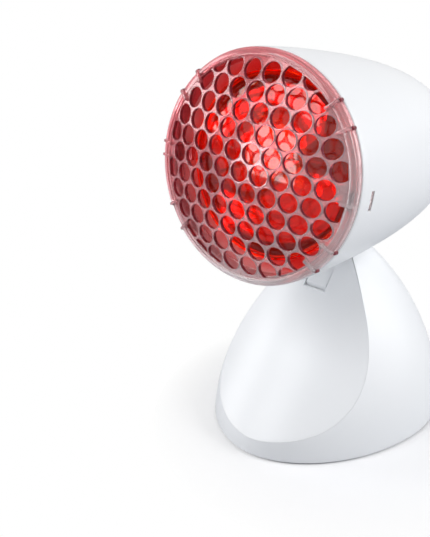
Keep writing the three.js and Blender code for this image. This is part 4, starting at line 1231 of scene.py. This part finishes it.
class HEATLAMP_OT_fittings(bpy.types.Operator):
    """Make the rubber feet, the cable gland and the base screws"""

    bl_idname = "heat_lamp.fittings"
    bl_label = "Fittings"

    def execute(self, context):
        steps = 64
        for i in range(1, 5):
            self.make_foot(f"foot_pad_{i}", f"rubber_foot_{i}", steps)
        self.make_gland(steps)
        for i in range(1, 5):
            self.make_screw(f"base_screw_{i}", steps)
        return {"FINISHED"}

    def make_foot(self, name, node, steps):
        """One rubber pad under the base."""
        low, high, middle = box_of(node)
        profile = foot_profile((high[0] - low[0]) / 2, high[2] - low[2])
        points = spun(profile, (middle[0], middle[1], low[2]), steps)
        foot = ring_piece(name, points, "base", "rubber", 50.0)
        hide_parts(node)

    def make_gland(self, steps):
        """The rubber bush in the rear wall."""
        low, high, middle = box_of("cord_gland")
        profile = gland_profile(low[1], high[1])
        points = spun(profile, (middle[0], 0, middle[2]), steps, level=True)
        gland = ring_piece("cable_gland", points, "base", "rubber", 60.0, closed=True)
        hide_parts("cord_gland")

    def make_screw(self, name, steps):
        """A pan-head screw, head down, with a cross recess."""
        low, high, middle = box_of(name)
        place = np.array((middle[0], middle[1], low[2]))
        profile = screw_profile((high[0] - low[0]) / 2, high[2] - low[2])
        screw = ring_piece(name + "_pan", spun(profile, place, steps), "base", "steel", 40.0)
        cutters = []
        for x, y in ((1.3, 0.275), (0.275, 1.3)):
            corners, quads = box_grid((-x * MM, -y * MM, -0.5 * MM), (x * MM, y * MM, 0.8 * MM))
            cutters.append(make_piece("cutter", corners + place, quads, None, "steel"))
        carve(screw, cutters)
        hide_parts(name)


# Studio

def any_ray(tree, *kinds):
    """1 for rays of any of these kinds, and 0 for the rest."""
    path = add_node(tree, "ShaderNodeLightPath")
    seen = path.outputs[kinds[0]]
    for kind in kinds[1:]:
        inputs = {0: seen, 1: path.outputs[kind]}
        seen = add_node(tree, "ShaderNodeMath", inputs, operation="MAXIMUM").outputs[0]
    return seen


def studio_world(ambient):
    """White surroundings for the camera, gloss and glass, and a soft fill for the rest."""
    world = bpy.data.worlds.new("studio")
    world.use_nodes = True
    tree = world.node_tree
    tree.nodes.clear()
    seen = any_ray(tree, "Is Camera Ray", "Is Glossy Ray", "Is Transmission Ray")
    tint = (*linear("FAFBFF"), 1)
    fill = add_node(tree, "ShaderNodeBackground", {"Color": tint, "Strength": ambient})
    white = add_node(tree, "ShaderNodeBackground", {"Color": (1, 1, 1, 1), "Strength": 1.0})
    mix = add_node(tree, "ShaderNodeMixShader", {0: seen, 1: fill.outputs[0], 2: white.outputs[0]})
    add_node(tree, "ShaderNodeOutputWorld", {"Surface": mix.outputs[0]})
    return world


def studio_floor(finish):
    """Matt paper that keeps the lamp's shadow and turns plain white away from it."""
    # The eye sees a pale floor with a soft shadow that fades into white.
    floor, tree, shader = new_finish("studio_floor_paper", Roughness=0.9, Specular_IOR_Level=0.0)
    camera = any_ray(tree, "Is Camera Ray")
    two_tone(tree, shader, camera, finish.floor_shade, finish.floor)
    place = add_node(tree, "ShaderNodeTexCoord")
    far = add_node(
        tree, "ShaderNodeVectorMath", {0: place.outputs["Object"], 1: (0.025, 0.0, 0.0)},
        operation="DISTANCE",
    )
    fade = add_node(
        tree, "ShaderNodeMapRange",
        {"Value": far.outputs["Value"], "From Min": 0.055, "From Max": 0.105},
    )
    seen = any_ray(tree, "Is Camera Ray", "Is Transmission Ray")
    both = add_node(
        tree, "ShaderNodeMath", {0: fade.outputs["Result"], 1: seen}, operation="MULTIPLY"
    )
    white = add_node(tree, "ShaderNodeEmission", {"Color": (1, 1, 1, 1), "Strength": 1.0})
    inputs = {0: both.outputs[0], 1: shader.outputs[0], 2: white.outputs[0]}
    mix = add_node(tree, "ShaderNodeMixShader", inputs)
    tree.links.new(mix.outputs[0], tree.nodes["Material Output"].inputs["Surface"])
    return floor


def set_facing(name, data, place, right, away):
    """An object at a place, its X along one direction and its Z along another square to it."""
    turn = np.stack([right, np.cross(away, right), away], axis=1)
    item = bpy.data.objects.new(name, data)
    item.matrix_world = Matrix.Translation(place) @ Matrix(turn.tolist()).to_4x4()
    bpy.context.scene.collection.objects.link(item)
    return item


def softbox(name, place, size, power, aim=(0.0, 0.0, 0.1)):
    """A square white area lamp at a place in metres, facing a point."""
    lamp = bpy.data.lights.new(name, "AREA")
    lamp.shape = "SQUARE"
    lamp.size = size
    lamp.energy = power
    away = np.array(place, float) - np.array(aim, float)
    away = away / np.linalg.norm(away)
    side = np.cross([0, 0, 1.0], away)
    return set_facing(name, lamp, place, side / np.linalg.norm(side), away)


def photo_camera():
    """The camera at the photograph's viewpoint.

    A long lens 39 degrees round to the lamp's left and 25 degrees up; its place, in
    millimetres, is measured from the foot's widest place. The sensor's 36 millimetres span
    the picture's longer side of 537 pixels, and the lens is as long as 1000 such pixels.
    """
    azimuth, elevation = np.radians(39.3), np.radians(25.3)
    shift = PIVOT[1] + bpy.context.scene.heat_lamp_pedestal.pivot_ahead
    place = np.array([234.3, -380.7, 280.4]) * MM + np.array([0, shift, 0])
    right = np.array([np.cos(azimuth), np.sin(azimuth), 0])
    level = np.cos(elevation)
    away = np.array([np.sin(azimuth) * level, -np.cos(azimuth) * level, np.sin(elevation)])
    data = bpy.data.cameras.new("photo_camera")
    data.sensor_width = 36.0
    data.lens = data.sensor_width * 1000 / 537
    data.clip_start = 0.01
    bpy.context.scene.camera = set_facing("photo_camera", data, place, right, away)


class HEATLAMP_OT_stage(bpy.types.Operator):
    """Make the camera, the floor, the lamps and the surroundings"""

    bl_idname = "heat_lamp.stage"
    bl_label = "Stage"

    def execute(self, context):
        scene = context.scene
        photo_camera()
        scene.view_settings.view_transform = "Standard"
        scene.world = studio_world(0.25)
        reach = 3.0
        corners = reach * np.array([[-1, -1, 0], [1, -1, 0], [1, 1, 0], [-1, 1, 0]])
        paper = studio_floor(scene.heat_lamp_finish)
        floor = make_piece("floor", corners, [[0, 1, 2, 3]], None, None, material=paper)
        softbox("key_box", (-0.5, -1.2, 1.1), 0.9, 10.6)
        softbox("left_box", (-1.3, -0.6, 0.5), 0.7, 7.0)
        softbox("right_box", (1.15, 0.35, 0.95), 0.8, 11.2)
        softbox("rear_box", (1.1, 0.8, 0.5), 0.8, 5.2)
        # The strip gives the red glass a pale reflection and leaves the white plastic alone.
        strip = softbox("strip_box", (-0.6, -1.12, 0.13), 0.45, 4.5, (0.0, -0.08, 0.13))
        strip.visible_diffuse = False
        return {"FINISHED"}


class HEATLAMP_PT_sidebar(bpy.types.Panel):
    """Lists the lamp's operators in the order in which they run"""

    bl_idname = "HEATLAMP_PT_sidebar"
    bl_label = "Heat Lamp"
    bl_space_type = "VIEW_3D"
    bl_region_type = "UI"
    bl_category = "Heat Lamp"

    def draw(self, context):
        for operator in OPERATORS:
            self.layout.operator(operator.bl_idname)


OPERATORS = (
    HEATLAMP_OT_stage,
    HEATLAMP_OT_finishes,
    HEATLAMP_OT_guard,
    HEATLAMP_OT_housing,
    HEATLAMP_OT_pedestal,
    HEATLAMP_OT_panel,
    HEATLAMP_OT_bulb,
    HEATLAMP_OT_fittings,
)
SETTINGS = {
    "heat_lamp_head": HeatLampHead,
    "heat_lamp_pedestal": HeatLampPedestal,
    "heat_lamp_finish": HeatLampFinish,
    "heat_lamp_detail": HeatLampDetail,
}


def register():
    for group in SETTINGS.values():
        bpy.utils.register_class(group)
    for name, group in SETTINGS.items():
        setattr(bpy.types.Scene, name, PointerProperty(type=group))
    for item in (*OPERATORS, HEATLAMP_PT_sidebar):
        bpy.utils.register_class(item)


def unregister():
    for item in reversed((*OPERATORS, HEATLAMP_PT_sidebar)):
        bpy.utils.unregister_class(item)
    for name, group in reversed(SETTINGS.items()):
        delattr(bpy.types.Scene, name)
        bpy.utils.unregister_class(group)


def main():
    register()
    for operator in OPERATORS:
        group, name = operator.bl_idname.split(".")
        getattr(getattr(bpy.ops, group), name)()


if __name__ == "__main__":
    main()
